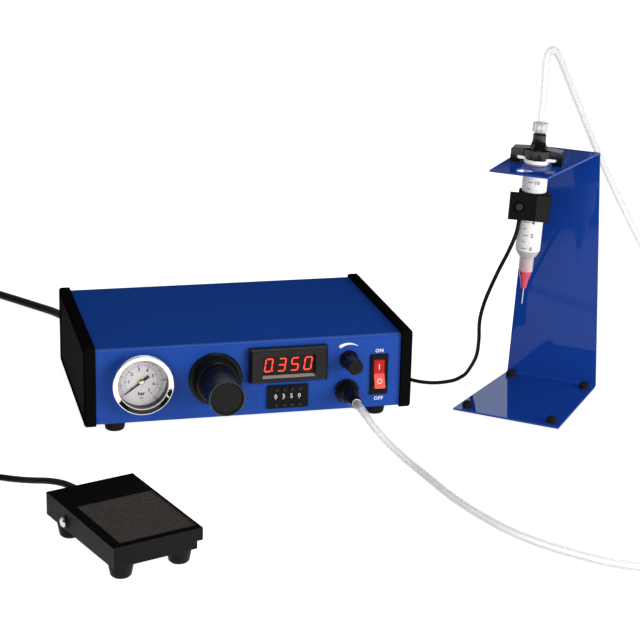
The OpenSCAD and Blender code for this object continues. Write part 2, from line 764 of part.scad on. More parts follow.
module rocker() {
    color("red") at_panel(switch_x, switch_z) translate([0, 0, rocker_pivot])
        rotate([-rocker_throw / 2, 0, 0]) {
            rotate([0, 90, 0]) rotate([0, 0, 90]) intersection() {
                cylinder(r = rocker_r, h = rocker_w, center = true);
                translate([0, 0, -rocker_w / 2]) linear_extrude(rocker_w) polygon([
                    [-rocker_r - 1, -rocker_depth], [rocker_r + 1, -rocker_depth],
                    [rocker_r + 1, rocker_lift - rocker_pivot + 0.2], [0, rocker_lift - rocker_pivot - 2.3],
                    [-rocker_r - 1, rocker_lift - rocker_pivot + 0.2]
                ]);
            }
            rotate([0, 90, 0]) cylinder(r = rocker_pin_r, h = rocker_w + 1.6, center = true);
        }
}

// Vacuum control
module vacuum_valve() {
    color("black") at_panel(vacuum_x, vacuum_z) difference() {
        union() {
            cylinder(r = vacuum_d / 2 + 0.5, h = 1.2);
            translate([0, 0, -4]) cylinder(r = 4, h = 4 + eps);
            translate([0, 0, -20]) cylinder(r = 7, h = 16, $fn = 6);
        }
        translate([0, 0, -12]) cylinder(r = 2.5 + run, h = 20);
    }
}

module vacuum_knob() {
    color("black") at_panel(vacuum_x, vacuum_z) {
        translate([0, 0, -11.8]) cylinder(r = 2.5, h = 14);
        translate([0, 0, 1.6]) difference() {
            rotate_extrude() polygon([
                [0, 0], [vacuum_d / 2, 0], [vacuum_d / 2, 1.4], [vacuum_d / 2 - 0.3, 2],
                [vacuum_d / 2 - 0.9, vacuum_len - 0.7], [vacuum_d / 2 - 1.6, vacuum_len], [0, vacuum_len]
            ]);
            for (i = [0:9]) rotate([0, 0, i * 36]) translate([vacuum_d / 2 + 0.6, 0, 2])
                cylinder(r = 1.7, h = vacuum_len);
        }
    }
}

// Air outlet: ribbed panel socket and the connector on the hose
module outlet_socket() {
    color("black") at_panel(outlet_x, outlet_z) {
        difference() {
            cylinder(r = outlet_d / 2, h = socket_t);
            for (i = [0:11]) rotate([0, 0, i * 30]) translate([outlet_d / 2 + 0.7, 0, -1])
                cylinder(r = 1.4, h = socket_t + 2, $fn = 24);
        }
        translate([0, 0, -16]) cylinder(r = 6, h = 16 + eps);
        translate([0, 0, -7]) cylinder(r = 8.5, h = 4, $fn = 6);
    }
}

module outlet_connector() {
    color("black") at_panel(outlet_x, outlet_z) difference() {
        rotate_extrude() polygon([
            [0, socket_t], [plug_r - 0.6, socket_t], [plug_r - 0.6, socket_t + 1.4],
            [plug_r, socket_t + 2], [plug_r, plug_straight - 1], [plug_r - 0.8, plug_straight],
            [plug_r - 1.2, plug_straight + 3], [plug_r - 2.6, plug_straight + 3.6],
            [plug_r - 2.8, plug_straight + 9], [hose_d / 2 + 1.6, outlet_out - 2],
            [hose_d / 2 + 1, outlet_out], [0, outlet_out]
        ]);
        for (i = [0:15]) rotate([0, 0, i * 22.5]) translate([plug_r + 0.5, 0, socket_t + 1.6])
            cylinder(r = 1, h = plug_straight - socket_t, $fn = 16);
    }
}

// Inside the case
module timer_board() {
    board_top = board_lift + board_t;
    at_controller() translate([board_x, board_y, sheet_t]) {
        color("darkgreen") translate([0, 0, board_lift]) cube([board_w, board_d, board_t]);
        color("gainsboro")
            for (x = [board_hole_in, board_w - board_hole_in], y = [board_hole_in, board_d - board_hole_in])
                translate([x, y, 0]) cylinder(r = 3, h = board_lift, $fn = 6);
        color("darkgoldenrod") translate([8, 10, board_top]) difference() {
            cube(transformer);
            for (y = [-1, transformer[1] - 8]) translate([winding_cut, y, winding_cut])
                cube([transformer[0] - 2 * winding_cut, 9, transformer[2] - 2 * winding_cut]);
        }
        color("black") for (i = [0:2]) translate([board_w - 36 + i * 2.4 * capacitor_r, 18, board_top])
            cylinder(r = capacitor_r, h = capacitor_h);
        color("steelblue") translate([board_w - 2 * relay[0], 44, board_top]) cube(relay);
    }
}

module valve_block() {
    at_controller() translate([valve_x, valve_y, sheet_t]) {
        color("silver") cube([valve_w, valve_d, valve_h]);
        color("black") for (x = [4, 10 + valve_coil_w]) translate([x, 2, valve_h])
            cube([valve_coil_w, valve_coil_w, valve_coil_h]);
        color("silver") translate([valve_w - 6, valve_d / 2, valve_h]) cylinder(r = 5, h = 14);
    }
    at_rear(shell_w - silencer_x, rear_z) {
        color("silver") translate([0, 0, -silencer_in]) cylinder(r = 5, h = silencer_in + eps);
        color("silver") cylinder(r = 7, h = 3, $fn = 6);
        color("goldenrod") translate([0, 0, 3]) tapered_silencer();
    }
    at_controller() color("silver") translate([shell_w - silencer_x - 5, valve_y + valve_d - eps, sheet_t])
        cube([10, shell_d - valve_y - valve_d - silencer_in + 4, rear_z - 1]);
}
module tapered_silencer() rotate_extrude() polygon([[0, 0], [5.4, 0], [5.4, 9], [3.4, 12], [0, 12]]);

// Rear fittings
module air_inlet() {
    color("black") at_rear(shell_w - inlet_x, rear_z) difference() {
        union() {
            cylinder(r = 8, h = 5, $fn = 6);
            translate([0, 0, 5]) cylinder(r = 6, h = 7);
            translate([0, 0, -18]) cylinder(r = 5, h = 18 + eps);
            translate([0, 0, -6]) cylinder(r = 7, h = 4.5, $fn = 6);
        }
        translate([0, 0, -4]) cylinder(r = inlet_d / 2 + run, h = 20);
    }
}

module signal_sockets() {
    color("silver") for (x = [pedal_socket_x, finger_socket_x]) at_rear(shell_w - x, rear_z) difference() {
        union() {
            cylinder(r = 6.6, h = 2.4, $fn = 6);
            cylinder(r = 4.6, h = 4);
            translate([0, 0, -16]) cylinder(r = 5, h = 16 + eps);
        }
        translate([0, 0, -13]) cylinder(r = 3.2, h = 20);
    }
}

module mains_gland() {
    color("black") at_rear(mains_x, rear_z) {
        translate([0, 0, -5]) cylinder(r = 5, h = 5 + eps);
        rotate_extrude() polygon([
            [0, 0], [8, 0], [8, 2.4], [7, 4], [6, 4], [5.6, 6], [mains_d / 2 + 0.8, 34], [0, 34]
        ]);
        translate([0, 0, -5]) cylinder(r = 7, h = 3.4);
    }
}

// Stand: one tapering blank folded into a C
module blank(front, back, length) linear_extrude(sheet_t)
    polygon([[-front, 0], [front, 0], [back, length], [-back, length]]);

module stand_bracket() {
    run_d = stand_d - stand_bend;
    run_h = stand_h - stand_lift - 2 * stand_bend;
    color("royalblue") at_stand() difference() {
        union() {
            translate([0, 0, stand_lift]) blank(blank_front, blank_base, run_d);
            translate([-blank_base, run_d, stand_lift + stand_bend]) along_x(2 * blank_base)
                rotate(180) quarter_ring(stand_bend, sheet_t);
            translate([0, stand_d, stand_lift + stand_bend]) rotate([90, 0, 0])
                blank(blank_base, blank_top, run_h);
            translate([-blank_top, run_d, stand_h - stand_bend]) along_x(2 * blank_top)
                mirror([1, 0]) quarter_ring(stand_bend, sheet_t);
            translate([0, 0, stand_h - sheet_t]) blank(blank_tip, blank_top, run_d);
        }
        for (hole = [[small_hole_d, small_hole_y], [barrel_hole_d, barrel_hole_y], [large_hole_d, large_hole_y]])
            translate([0, hole[1], stand_h - 5]) cylinder(d = hole[0], h = 9);
        stand_foot_places() translate([0, 0, stand_lift - 1]) cylinder(r = 2 + fit, h = 5);
    }
}
module stand_foot_places() for (s = [-1, 1]) {
    translate([s * (blank_front - stand_foot_in), stand_foot_in, 0]) children();
    translate([s * (blank_base - stand_foot_in + 2), stand_d - stand_foot_in - 2, 0]) children();
}

module stand_feet() {
    head = stand_lift + sheet_t;
    color("black") at_stand() stand_foot_places() rotate_extrude() polygon([
        [0, 0], [stand_foot_r - 0.4, 0], [stand_foot_r, 0.5], [stand_foot_r, stand_lift], [2, stand_lift],
        [2, head], [stand_head_r, head], [stand_head_r, head + 2.2], [stand_head_r - 0.5, head + 3.5],
        [stand_head_r - 1.7, head + 4.4], [0, head + 4.8]
    ]);
}

// Syringe
module syringe_barrel() {
    color("whitesmoke", 0.6) at_syringe() rotate([0, 0, adapter_turn]) difference() {
        union() {
            rotate_extrude() {
                polygon([
                    [0, -barrel_len], [3, -barrel_len], [barrel_r - 2.2, -barrel_len + 1.6],
                    [barrel_r, -barrel_len + shoulder_h], [barrel_r, wing_h - 4.2], [0, wing_h - 4.2]
                ]);
            }
            translate([0, 0, ear_z]) linear_extrude(ear_t) intersection() {
                circle(ear_span / 2);
                square([ear_span, ear_w], center = true);
            }
            translate([0, 0, -barrel_len - hub_h]) cylinder(r = hub_r, h = hub_h + 1);
        }
        rotate_extrude() polygon([
            [0, -barrel_len + 1.6], [1.2, -barrel_len + 1.6], [bore_r - 1.4, -barrel_len + 3],
            [bore_r, -barrel_len + shoulder_h], [bore_r, 20], [0, 20]
        ]);
        translate([0, 0, -barrel_len - hub_h - 1]) difference() {
            cylinder(r = hub_r - 1.1, h = hub_h);
            cylinder(r = 2, h = hub_h);
        }
        translate([0, 0, -barrel_len - hub_h - 1]) cylinder(r = 1, h = hub_h + 5);
    }
}

module piston() {
    color("ivory") at_syringe() translate([0, 0, piston_top - piston_h]) rotate_extrude() polygon([
        [0, 0], [2, 0.4], [bore_r - 1.4, 2.2], [bore_r - run, 4.4], [bore_r - run, 5.8], [bore_r - 0.8, 6.4],
        [bore_r - 0.8, piston_h - 2.4], [bore_r - run, piston_h - 1.6], [bore_r - run, piston_h],
        [bore_r - 2, piston_h], [bore_r - 2.4, 7], [0, 7]
    ]);
}

module adapter_head() {
    half = adapter_span / 2;
    color("black") at_syringe() rotate([0, 0, adapter_turn]) difference() {
        union() {
            // Wings, thicker at the neck
            translate([0, adapter_w / 2, 0]) rotate([90, 0, 0]) linear_extrude(adapter_w) polygon([
                [-half, 0], [half, 0], [half, wing_h - 1], [half - 1, wing_h], [neck_r + 2, wing_h + 1],
                [-neck_r - 2, wing_h + 1], [-half + 1, wing_h], [-half, wing_h - 1]
            ]);
            translate([0, 0, 3.4]) cylinder(r = barrel_r + 2.2, h = wing_h - 3.4);
            translate([0, 0, wing_h]) rotate_extrude() {
                square([neck_r, neck_h]);
                polygon([[0, 0], [neck_r + 2.4, 0], [neck_r + 0.8, 3], [neck_r, 6], [0, 6]]);
                square([neck_r - 1, neck_h + 1]);
                translate([neck_r - 1, neck_h]) circle(1);
                square([collar_r, neck_h + 1 + collar_h]);
            }
        }
        // Room for the barrel's top and its ears, which the wings' inner lips hold
        difference() {
            translate([0, 0, -1]) cylinder(r = barrel_r + fit, h = wing_h - 3.2 + fit);
            translate([0, 0, -1]) cylinder(r = bore_r - fit, h = 20);
        }
        difference() {
            translate([0, 0, ear_z + ear_t / 2]) cube([ear_span + 1, ear_w + 1, ear_t + 2 * fit], center = true);
            cylinder(r = bore_r - fit, h = 20);
        }
        difference() {
            translate([0, 0, -1]) cube([24, ear_w + 1, 2 * (ear_z + 1) + eps], center = true);
            cylinder(r = bore_r - fit, h = 20);
        }
        translate([0, 0, -9]) cylinder(r = 1.5, h = nut_z + 12);
        // Finger notches round the skirt
        for (i = [0:11]) rotate([0, 0, 15 + i * 30]) translate([barrel_r + 2.6, 0, 2])
            cylinder(r = 1, h = 4.4, $fn = 16);
    }
}

module luer_nut() {
    color("gainsboro") at_syringe() translate([0, 0, nut_z]) difference() {
        cylinder(r = nut_r, h = nut_h);
        for (i = [0:9]) rotate([0, 0, i * 36]) translate([nut_r + 0.8, 0, -1])
            cylinder(r = 1.4, h = nut_h + 2, $fn = 24);
        translate([0, 0, nut_h - 2]) cylinder(r = hose_d / 2 + fit, h = 9);
    }
}

module needle() {
    color("deeppink") at_syringe() translate([0, 0, -barrel_len - hub_h]) {
        rotate_extrude() polygon([
            [2 + fit, 3], [hub_r - 1.1 - fit, 3], [hub_r - 1.1 - fit, 0], [hub_r - 0.5, 0], [hub_r - 0.9, -3],
            [2.9, -needle_hub * 0.55], [1.8, -needle_hub], [0, -needle_hub], [0, -1], [2 + fit, -1]
        ]);
        translate([0, 0, -needle_hub - needle_len]) cylinder(r = 0.4, h = needle_len + 4);
    }
}

// Finger switch on its strap
module finger_strap() {
    color("black") at_strap() translate([0, 0, -strap_drop - strap_h]) difference() {
        union() {
            difference() {
                cylinder(r = barrel_r + strap_t, h = strap_h);
                translate([0, 0, -1]) cylinder(r = barrel_r + fit, h = strap_h + 2);
            }
            translate([-panel_left, -barrel_r - fit - panel_t, 0])
                cube([panel_left + panel_right, panel_t, strap_h]);
        }
        translate([button_x, -barrel_r - fit - panel_t - 1, strap_h / 2]) rotate([-90, 0, 0])
            cylinder(r = finger_d / 2 + run, h = 1 + panel_t - 1);
    }
}

module finger_button() {
    reach = panel_t - 1 - finger_travel - 0.2;
    color("gray") at_strap() translate([0, 0, -strap_drop - strap_h / 2])
        translate([button_x, -barrel_r - fit - panel_t - 1.2, 0]) rotate([-90, 0, 0])
            cylinder(r = finger_d / 2, h = 1.2 + reach);
}

// Foot pedal
function top_z(y) = pedal_front_h + (pedal_back_h - pedal_front_h) * y / pedal_l;

module pedal_base() {
    w = pedal_w - 2 * base_in;
    l = pedal_l - 2 * base_in;
    pivot_y = pedal_l - pivot_back;
    color("black") at_pedal() difference() {
        union() {
            translate([-w / 2, base_in, base_floor_z]) difference() {
                cube([w, l, base_top_z - base_floor_z - 4]);
                translate([base_wall, base_wall, 2]) cube([w - 2 * base_wall, l - 2 * base_wall, 30]);
            }
            for (x = [-leg_x, leg_x], y = [leg_front_y, leg_back_y]) translate([x, y, 0])
                tapered_foot(base_floor_z + 1, leg_top_r, leg_bottom_r, 1.2);
            // Bosses that the hinge pins screw into
            for (s = [-1, 1]) translate([s * (w / 2 - 3), pivot_y, pivot_z]) rotate([0, 90, 0])
                cylinder(r = pin_boss_r - 0.6, h = 6, center = true);
            for (s = [-1, 1]) translate([s * (w / 2 - 3) - 3, pivot_y - 4, base_floor_z + 1])
                cube([6, 8, pivot_z - base_floor_z - 1]);
            // Seat of the spring, and the cord's bush at the back
            translate([0, spring_y, base_floor_z]) cylinder(r = 2.6, h = 5);
            translate([bush_x, pedal_l - base_in - 3, bush_z]) rotate([-90, 0, 0])
                cylinder(r = bush_r, h = 3 + base_in + bush_out);
        }
        for (s = [-1, 1]) translate([s * (w / 2 - 3), pivot_y, pivot_z]) rotate([0, 90, 0])
            cylinder(r = pin_r + 0.02, h = 7, center = true);
    }
}

module side_outline() polygon([
    [0, skirt_front_z], [pedal_l, skirt_back_z], [pedal_l, pedal_back_h], [0, pedal_front_h]
]);

module pedal_treadle() {
    pivot_y = pedal_l - pivot_back;
    half = pedal_w / 2;
    inside = half - treadle_t;
    color("black") at_pedal() difference() {
        union() {
            difference() {
                translate([-half, 0, 0]) along_x(pedal_w) side_outline();
                // Hollow underside
                translate([-inside, 0, 0]) along_x(2 * inside) polygon([
                    [treadle_t, 0], [pedal_l - treadle_t, 0],
                    [pedal_l - treadle_t, top_z(pedal_l - treadle_t) - treadle_t - tread_sink],
                    [treadle_t, top_z(treadle_t) - treadle_t - tread_sink]
                ]);
                // Sunk tread
                translate([-half + tread_in, 0, 0]) along_x(tread_w) polygon([
                    [tread_front, top_z(tread_front) - tread_sink], [tread_front, 40],
                    [tread_front + tread_len, 40],
                    [tread_front + tread_len, top_z(tread_front + tread_len) - tread_sink]
                ]);
            }
            for (i = [0:tread_ribs - 1]) let (y = tread_front + (i + 0.5) * tread_len / tread_ribs)
                translate([-half + tread_in + 1, y - 0.6, top_z(y) - tread_sink - 0.2])
                    cube([tread_w - 2, 1.2, 0.75]);
            for (s = [-1, 1]) translate([s * (half + 0.3), pivot_y, pivot_z]) rotate([0, 90, 0])
                cylinder(r = pin_boss_r, h = 2 * treadle_t - 2.8, center = true);
            // Boss over the spring, and the rib that works the switch
            translate([0, spring_y, base_top_z + 1.6]) cylinder(r = 3, h = 3);
            translate([-4, switch_y + 2, base_top_z + 2]) cube([6, 2, 4]);
        }
        for (s = [-1, 1]) translate([s * half, pivot_y, pivot_z]) rotate([0, 90, 0])
            cylinder(r = pin_r + run, h = 12, center = true);
        // The right skirt is relieved ahead of the hinge
        translate([half - notch_w, -1, 0]) cube([notch_w + 1, pivot_y - 12, skirt_front_z + notch_h]);
        // Opening for the cord's bush
        translate([bush_x, pedal_l - 5, 0]) rotate([-90, 0, 0]) {
            translate([0, -bush_z, 0]) cylinder(r = bush_r + 0.9, h = 9);
            translate([-bush_r - 0.9, -bush_z, 0]) cube([2 * bush_r + 1.8, bush_z, 9]);
        }
    }
}

module pedal_pins() {
    w = pedal_w - 2 * base_in;
    color("silver") at_pedal() for (s = [-1, 1])
        translate([s * (w / 2 - 4), pedal_l - pivot_back, pivot_z]) rotate([0, s * 90, 0]) {
            length = base_in + 4 + 1.3;
            cylinder(r = pin_r, h = length);
            translate([0, 0, length]) rotate_extrude()
                polygon([[0, 0], [3.3, 0], [3.3, 0.5], [2.4, 1.4], [0, 1.6]]);
        }
}

module pedal_spring() {
    bottom = base_floor_z + 2 + wire_r;
    height = top_z(spring_y) - treadle_t - tread_sink - bottom - wire_r - gap;
    points = [for (i = [0:spring_turns * 8])
        let (a = i * 45) [spring_r * cos(a), spring_r * sin(a), height * i / (spring_turns * 8)]];
    color("silver") at_pedal() translate([0, spring_y, bottom]) tube(points, 2 * wire_r, 6, 1);
}

module pedal_switch() {
    color("black") at_pedal() translate([-10, switch_y, base_floor_z + 2]) {
        cube([20, 6.4, 7]);
        translate([7, 1.7, 7]) cube([3, 3, 0.8]);
        for (x = [2, 9, 16]) translate([x, 6.4 - eps, 2]) cube([2, 4, 0.6]);
    }
}

// Free cords and what is on them
module air_hose() color("whitesmoke", 0.5) tube(hose_route, hose_d, 8, 2);
module finger_lead() color("black") tube(lead_route, lead_d, 8, 2);
module lead_plug() {
    color("black") at_rear(shell_w - finger_socket_x, rear_z) {
        translate([0, 0, -12]) cylinder(r = 3, h = 18);
        translate([0, 0, 4]) rotate_extrude()
            polygon([[0, 0], [5, 0], [5, 12], [4, 14], [lead_d / 2 + 0.6, 26], [0, 26]]);
    }
}
module mains_cord() color("black") tube(mains_route, mains_d, 10, 2);
module mains_coil() color("black") translate(mains_coil_at) coil(mains_coil_r, 3, mains_d, 2);
module mains_plug() {
    color("black") translate(mains_coil_at + [0, 0, 2 * mains_d]) rotate([0, 0, -77.3])
        translate([mains_coil_r, -30, 0]) {
        translate([0, 0, 10]) rotate([0, 90, 0]) rotate([0, 0, 90]) hull() {
            translate([0, 0, -16]) linear_extrude(26) translate([-12, -10]) rounded(24, 20, 5, $fn = 32);
            translate([0, 0, -24]) linear_extrude(2) translate([-6, -6]) rounded(12, 12, 4, $fn = 32);
        }
        translate([10 - eps, -7.1, 6.8]) cube([17, 1.5, 6.4]);
        translate([10 - eps, 5.6, 6.8]) cube([17, 1.5, 6.4]);
        translate([10 - eps, 0, 16]) rotate([0, 90, 0]) cylinder(r = 2.3, h = 18);
        translate([-23.9, 0, 10]) rotate([0, -90, 0]) cylinder(r1 = 5, r2 = 4.2, h = 13);
        tube([[-36, 0, 10], [-41.5, 0.1, 9.2], [-47.5, 1.2, 6.6], [-54, 3.6, 3.4], [-60.4, 7.4, -0.6],
            [-65, 12, -3]], mains_d, 8, 2);
    }
}
module pedal_cord() color("black") tube(pedal_cord_route, pedal_cord_d, 8, 2);
module pedal_coil() color("black") translate(pedal_coil_at) coil(pedal_coil_r, 3, pedal_cord_d, 3);
module pedal_plug() {
    color("black") translate(pedal_coil_at + [0, 0, 3 * pedal_cord_d + 3.9]) rotate([0, 0, -72.1])
        translate([24, -20, 0]) {
        rotate([0, 90, 0]) {
            translate([0, 0, -30]) rotate_extrude()
                polygon([[0, 0], [pedal_cord_d / 2 + 0.6, 0], [4, 12], [5, 14], [5, 34], [0, 34]]);
            color("silver") translate([0, 0, 4 - eps]) cylinder(r = 3, h = 26);
        }
        tube([[-29, 0, 0], [-33, 0.6, -0.9], [-37.5, 2.6, -2.6], [-42.5, 7, -5], [-45.6, 12, -6.6]],
            pedal_cord_d, 8, 2);
    }
}

case_cover();
chassis();
end_cheeks();
controller_feet();
gauge_case();
gauge_dial();
gauge_pointer();
gauge_lens();
regulator_body();
regulator_spindle();
regulator_knob();
display_bezel();
display_module();
pushwheel_frame();
digit_wheel_1();
digit_wheel_2();
digit_wheel_3();
digit_wheel_4();
plus_button_1();
plus_button_2();
plus_button_3();
plus_button_4();
minus_button_1();
minus_button_2();
minus_button_3();
minus_button_4();
rocker_frame();
rocker();
vacuum_valve();
vacuum_knob();
outlet_socket();
outlet_connector();
timer_board();
valve_block();
air_inlet();
signal_sockets();
mains_gland();
stand_bracket();
stand_feet();
syringe_barrel();
piston();
adapter_head();
luer_nut();
needle();
finger_strap();
finger_button();
pedal_base();
pedal_treadle();
pedal_pins();
pedal_spring();
pedal_switch();
air_hose();
finger_lead();
lead_plug();
mains_cord();
mains_coil();
mains_plug();
pedal_cord();
pedal_coil();
pedal_plug();
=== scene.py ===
"""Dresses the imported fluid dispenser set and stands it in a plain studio.

Positions are metres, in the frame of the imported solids: X runs along the controller's front, Y to the back, Z up.
Routes, turned profiles, shifts by at() and the pattern of a finish are given in millimetres.
Each operator makes one piece or one group of like pieces, and main() calls them in order."""

import json
import math

import bmesh
import bpy
from mathutils import Matrix, Vector


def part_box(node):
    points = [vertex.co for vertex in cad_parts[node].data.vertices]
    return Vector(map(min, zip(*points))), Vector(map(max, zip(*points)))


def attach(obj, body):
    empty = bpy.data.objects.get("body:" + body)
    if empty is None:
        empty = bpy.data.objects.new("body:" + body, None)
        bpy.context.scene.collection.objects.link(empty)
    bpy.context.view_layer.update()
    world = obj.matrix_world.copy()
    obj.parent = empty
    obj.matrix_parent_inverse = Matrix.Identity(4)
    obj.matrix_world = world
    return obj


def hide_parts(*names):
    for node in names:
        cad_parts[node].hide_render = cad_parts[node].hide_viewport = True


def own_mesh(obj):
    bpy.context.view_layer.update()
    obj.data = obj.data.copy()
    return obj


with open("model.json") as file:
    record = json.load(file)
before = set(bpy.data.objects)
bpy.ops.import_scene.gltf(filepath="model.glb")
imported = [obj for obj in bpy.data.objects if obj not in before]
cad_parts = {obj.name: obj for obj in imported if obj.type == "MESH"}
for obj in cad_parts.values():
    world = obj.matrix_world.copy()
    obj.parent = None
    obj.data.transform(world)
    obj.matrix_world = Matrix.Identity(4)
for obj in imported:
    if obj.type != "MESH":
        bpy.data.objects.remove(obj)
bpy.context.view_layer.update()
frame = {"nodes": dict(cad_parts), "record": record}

bl_info = {
    "name": "Fluid Dispenser Set",
    "version": (1, 0, 0),
    "blender": (4, 5, 0),
    "location": "View3D > Sidebar > Dispenser",
    "description": "Dresses a bench-top fluid dispenser set: controller, pedal, syringe stand, hose and cords",
    "category": "Object",
}

NODES = frame["nodes"]
BODY_OF = {node: body for body, nodes in frame["record"]["behaviour"]["bodies"].items() for node in nodes}
ROOT = "bench_set"
MM = 0.001


def at(x, y, z):
    """A shift by that many millimetres."""
    return Matrix.Translation((x * MM, y * MM, z * MM))


def turned(degrees, axis):
    """A turn about one axis."""
    return Matrix.Rotation(math.radians(degrees), 4, axis)


# Stand, syringe and pedal, placed as the solids are
STAND = at(130.8, 12.6, 0) @ turned(-40.4, "Z")
LEAN = 2.8
SHELF_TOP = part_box("stand_bracket")[1][2]
SEAT_LIFT = 0.020 * math.sin(math.radians(LEAN))
SYRINGE = STAND @ Matrix.Translation((0, 0.0385, SHELF_TOP + SEAT_LIFT)) @ turned(LEAN, "Y")
STRAP = SYRINGE @ Matrix.Translation((0, 0, -SEAT_LIFT)) @ turned(20, "Z")
PEDAL = at(-168, -199.6, 0) @ turned(19.6, "Z")
PANEL_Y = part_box("case_cover")[0][1]
REAR_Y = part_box("chassis")[1][1]

# Face of the finger switch's block and the height of its middle, on the strap
BLOCK_FACE, BLOCK_MIDDLE = -12.9, -30.75

# Routes of the free cords
HOSE_ROUTE = [
    (13.2, 10, 23.6), (13.7, 4, 23), (15.6, -5, 20.3), (19, -19, 15.2), (24.5, -35, 9.4),
    (30, -52, 5.4), (34.2, -68, 3.5), (37.6, -86, 3.1), (43.6, -124, 3.1), (53, -160, 3.1),
    (66.5, -193.6, 3.1), (88, -224, 3.1), (114.2, -248.6, 3.1), (148, -262, 3.1),
    (175, -263, 3.1), (206, -252, 3.1), (236, -228, 3.1), (263, -196, 3.1), (287, -158, 3.1), (305, -118, 3.1),
    (318, -76, 3.1), (325, -36, 3.1), (327, 2, 4), (325, 34, 10), (317, 62, 26), (306, 82, 48),
    (292, 97, 76), (274, 104, 108), (250, 101.2, 147.6), (225, 91, 188),
    (211, 81.5, 210), (192.5, 69, 240), (180, 60, 260), (171, 52.6, 272), (164.5, 47.6, 275.5),
    (160, 44.4, 271), (158.6, 42.2, 260),
]
HOSE_ON_SYRINGE = (50, 36, 28)
MAINS_ROUTE = [
    (-150, 229, 29), (-150, 241, 24.5), (-151, 256, 17), (-153, 272, 9.6), (-156, 290, 4.8), (-162, 314, 3.6),
    (-172, 339, 3.6), (-190, 366, 3.6), (-206, 389, 3.6), (-222, 410, 3.6), (-242, 426, 3.6),
]
PEDAL_ROUTE = [
    (-199, -102.2, 14), (-203.8, -90.6, 14), (-210, -79.4, 13.6), (-215.6, -71.4, 12.6), (-221.6, -63.2, 10.6),
    (-228, -54.4, 7.8), (-234.6, -45.4, 5), (-242.6, -36.6, 3), (-252, -29.8, 2.35), (-264, -25.6, 2.3),
]
LEAD_ROUTE = [
    (141.7, 35.4, 150.6), (141.3, 38.6, 140), (138.7, 45.5, 124.6), (134.2, 56.4, 103.7), (130.2, 68.6, 79),
    (130, 77.9, 60), (132.9, 85.7, 41.6), (134.4, 94.7, 24.4), (131, 104.5, 8.6), (126.4, 107, 3.6),
    (119.6, 106, 1.6), (107, 103.4, 1.6), (96, 106.4, 1.6), (87, 115, 1.6), (80.6, 131, 1.6),
    (76.4, 154, 1.6), (73.6, 180, 1.6), (71, 202, 1.6), (66, 221, 1.6), (58, 237, 2.4),
    (47, 246, 7), (38, 243, 15), (33.6, 236, 22.4), (33, 225, 29),
]
MAINS_COIL_AT = Vector((-0.276, 0.388, 0))
PEDAL_COIL_AT = Vector((-0.291, -0.056, 0))
# Height of a cord that lies on the bench above its own radius, which keeps its facets clear of the floor
FLOOR_GAP = 0.06

# Frames of the two loose plugs, with x along the plug from its cord to its pins
MAINS_PLUG = Matrix.Translation(MAINS_COIL_AT) @ at(0, 0, 14) @ turned(-77.3, "Z") @ at(38, -30, 10)
PEDAL_PLUG = Matrix.Translation(PEDAL_COIL_AT) @ at(0, 0, 17.4) @ turned(-72.1, "Z") @ at(24, -20, 0)


class DispenserSizes(bpy.types.PropertyGroup):
    """Sizes of the dressing that a user would change"""

    edge: bpy.props.FloatProperty(
        name="Edge round", description="Width of the rounding on moulded and cut edges",
        default=0.25 * MM, min=0.0, max=MM, unit="LENGTH", precision=5)
    hose: bpy.props.FloatProperty(
        name="Hose diameter", description="Outside diameter of the clear air hose",
        default=6 * MM, unit="LENGTH", precision=4)
    hose_bore: bpy.props.FloatProperty(
        name="Hose bore", description="Inside diameter of the clear air hose",
        default=4 * MM, unit="LENGTH", precision=4)
    mains: bpy.props.FloatProperty(
        name="Mains cord diameter", description="Outside diameter of the mains cord",
        default=7 * MM, unit="LENGTH", precision=4)
    pedal: bpy.props.FloatProperty(
        name="Pedal cord diameter", description="Outside diameter of the pedal's cord",
        default=4.5 * MM, unit="LENGTH", precision=4)
    lead: bpy.props.FloatProperty(
        name="Finger lead diameter", description="Outside diameter of the finger switch's lead",
        default=3 * MM, unit="LENGTH", precision=4)
    digit: bpy.props.FloatProperty(
        name="Display digit height", description="Height of a lit digit",
        default=9.5 * MM, unit="LENGTH", precision=4)
    letters: bpy.props.FloatProperty(
        name="Panel letter height", description="Height of the printed panel letters",
        default=2.9 * MM, unit="LENGTH", precision=4)
    shown: bpy.props.StringProperty(
        name="Time shown", description="Digits that the display shows", default="0.350")
    set_time: bpy.props.StringProperty(
        name="Time set", description="Digits that the four wheels show", default="0350", maxlen=4)


class DispenserColours(bpy.types.PropertyGroup):
    """Colours of the finishes, as linear values"""

    paint: bpy.props.FloatVectorProperty(
        name="Case paint", description="Satin paint of the controller's case",
        subtype="COLOR", size=3, min=0, max=1, default=(0.0115, 0.060, 0.325))
    stand: bpy.props.FloatVectorProperty(
        name="Stand paint", description="Gloss paint of the stand",
        subtype="COLOR", size=3, min=0, max=1, default=(0.0085, 0.052, 0.325))
    plastic: bpy.props.FloatVectorProperty(
        name="Moulded plastic", description="Plastic of the controller's cheeks",
        subtype="COLOR", size=3, min=0, max=1, default=(0.0042, 0.0040, 0.0040))
    glow: bpy.props.FloatVectorProperty(
        name="Digit glow", description="Light of the display's digits",
        subtype="COLOR", size=3, min=0, max=1, default=(1.0, 0.045, 0.02))
    lamp: bpy.props.FloatVectorProperty(
        name="Rocker red", description="Red of the lit rocker",
        subtype="COLOR", size=3, min=0, max=1, default=(0.60, 0.012, 0.009))


# Nodes ---------------------------------------------------------------------------------------------------------

def fill(node, inputs):
    """Gives a node's inputs their values, or links them to the sockets given."""
    for socket, value in inputs.items():
        if isinstance(value, bpy.types.NodeSocket):
            node.id_data.links.new(value, node.inputs[socket])
        else:
            node.inputs[socket].default_value = value
    return node


def add(tree, kind, inputs=None, **settings):
    """A new node with its settings and inputs."""
    node = tree.nodes.new(kind)
    for name, value in settings.items():
        setattr(node, name, value)
    return fill(node, inputs or {})


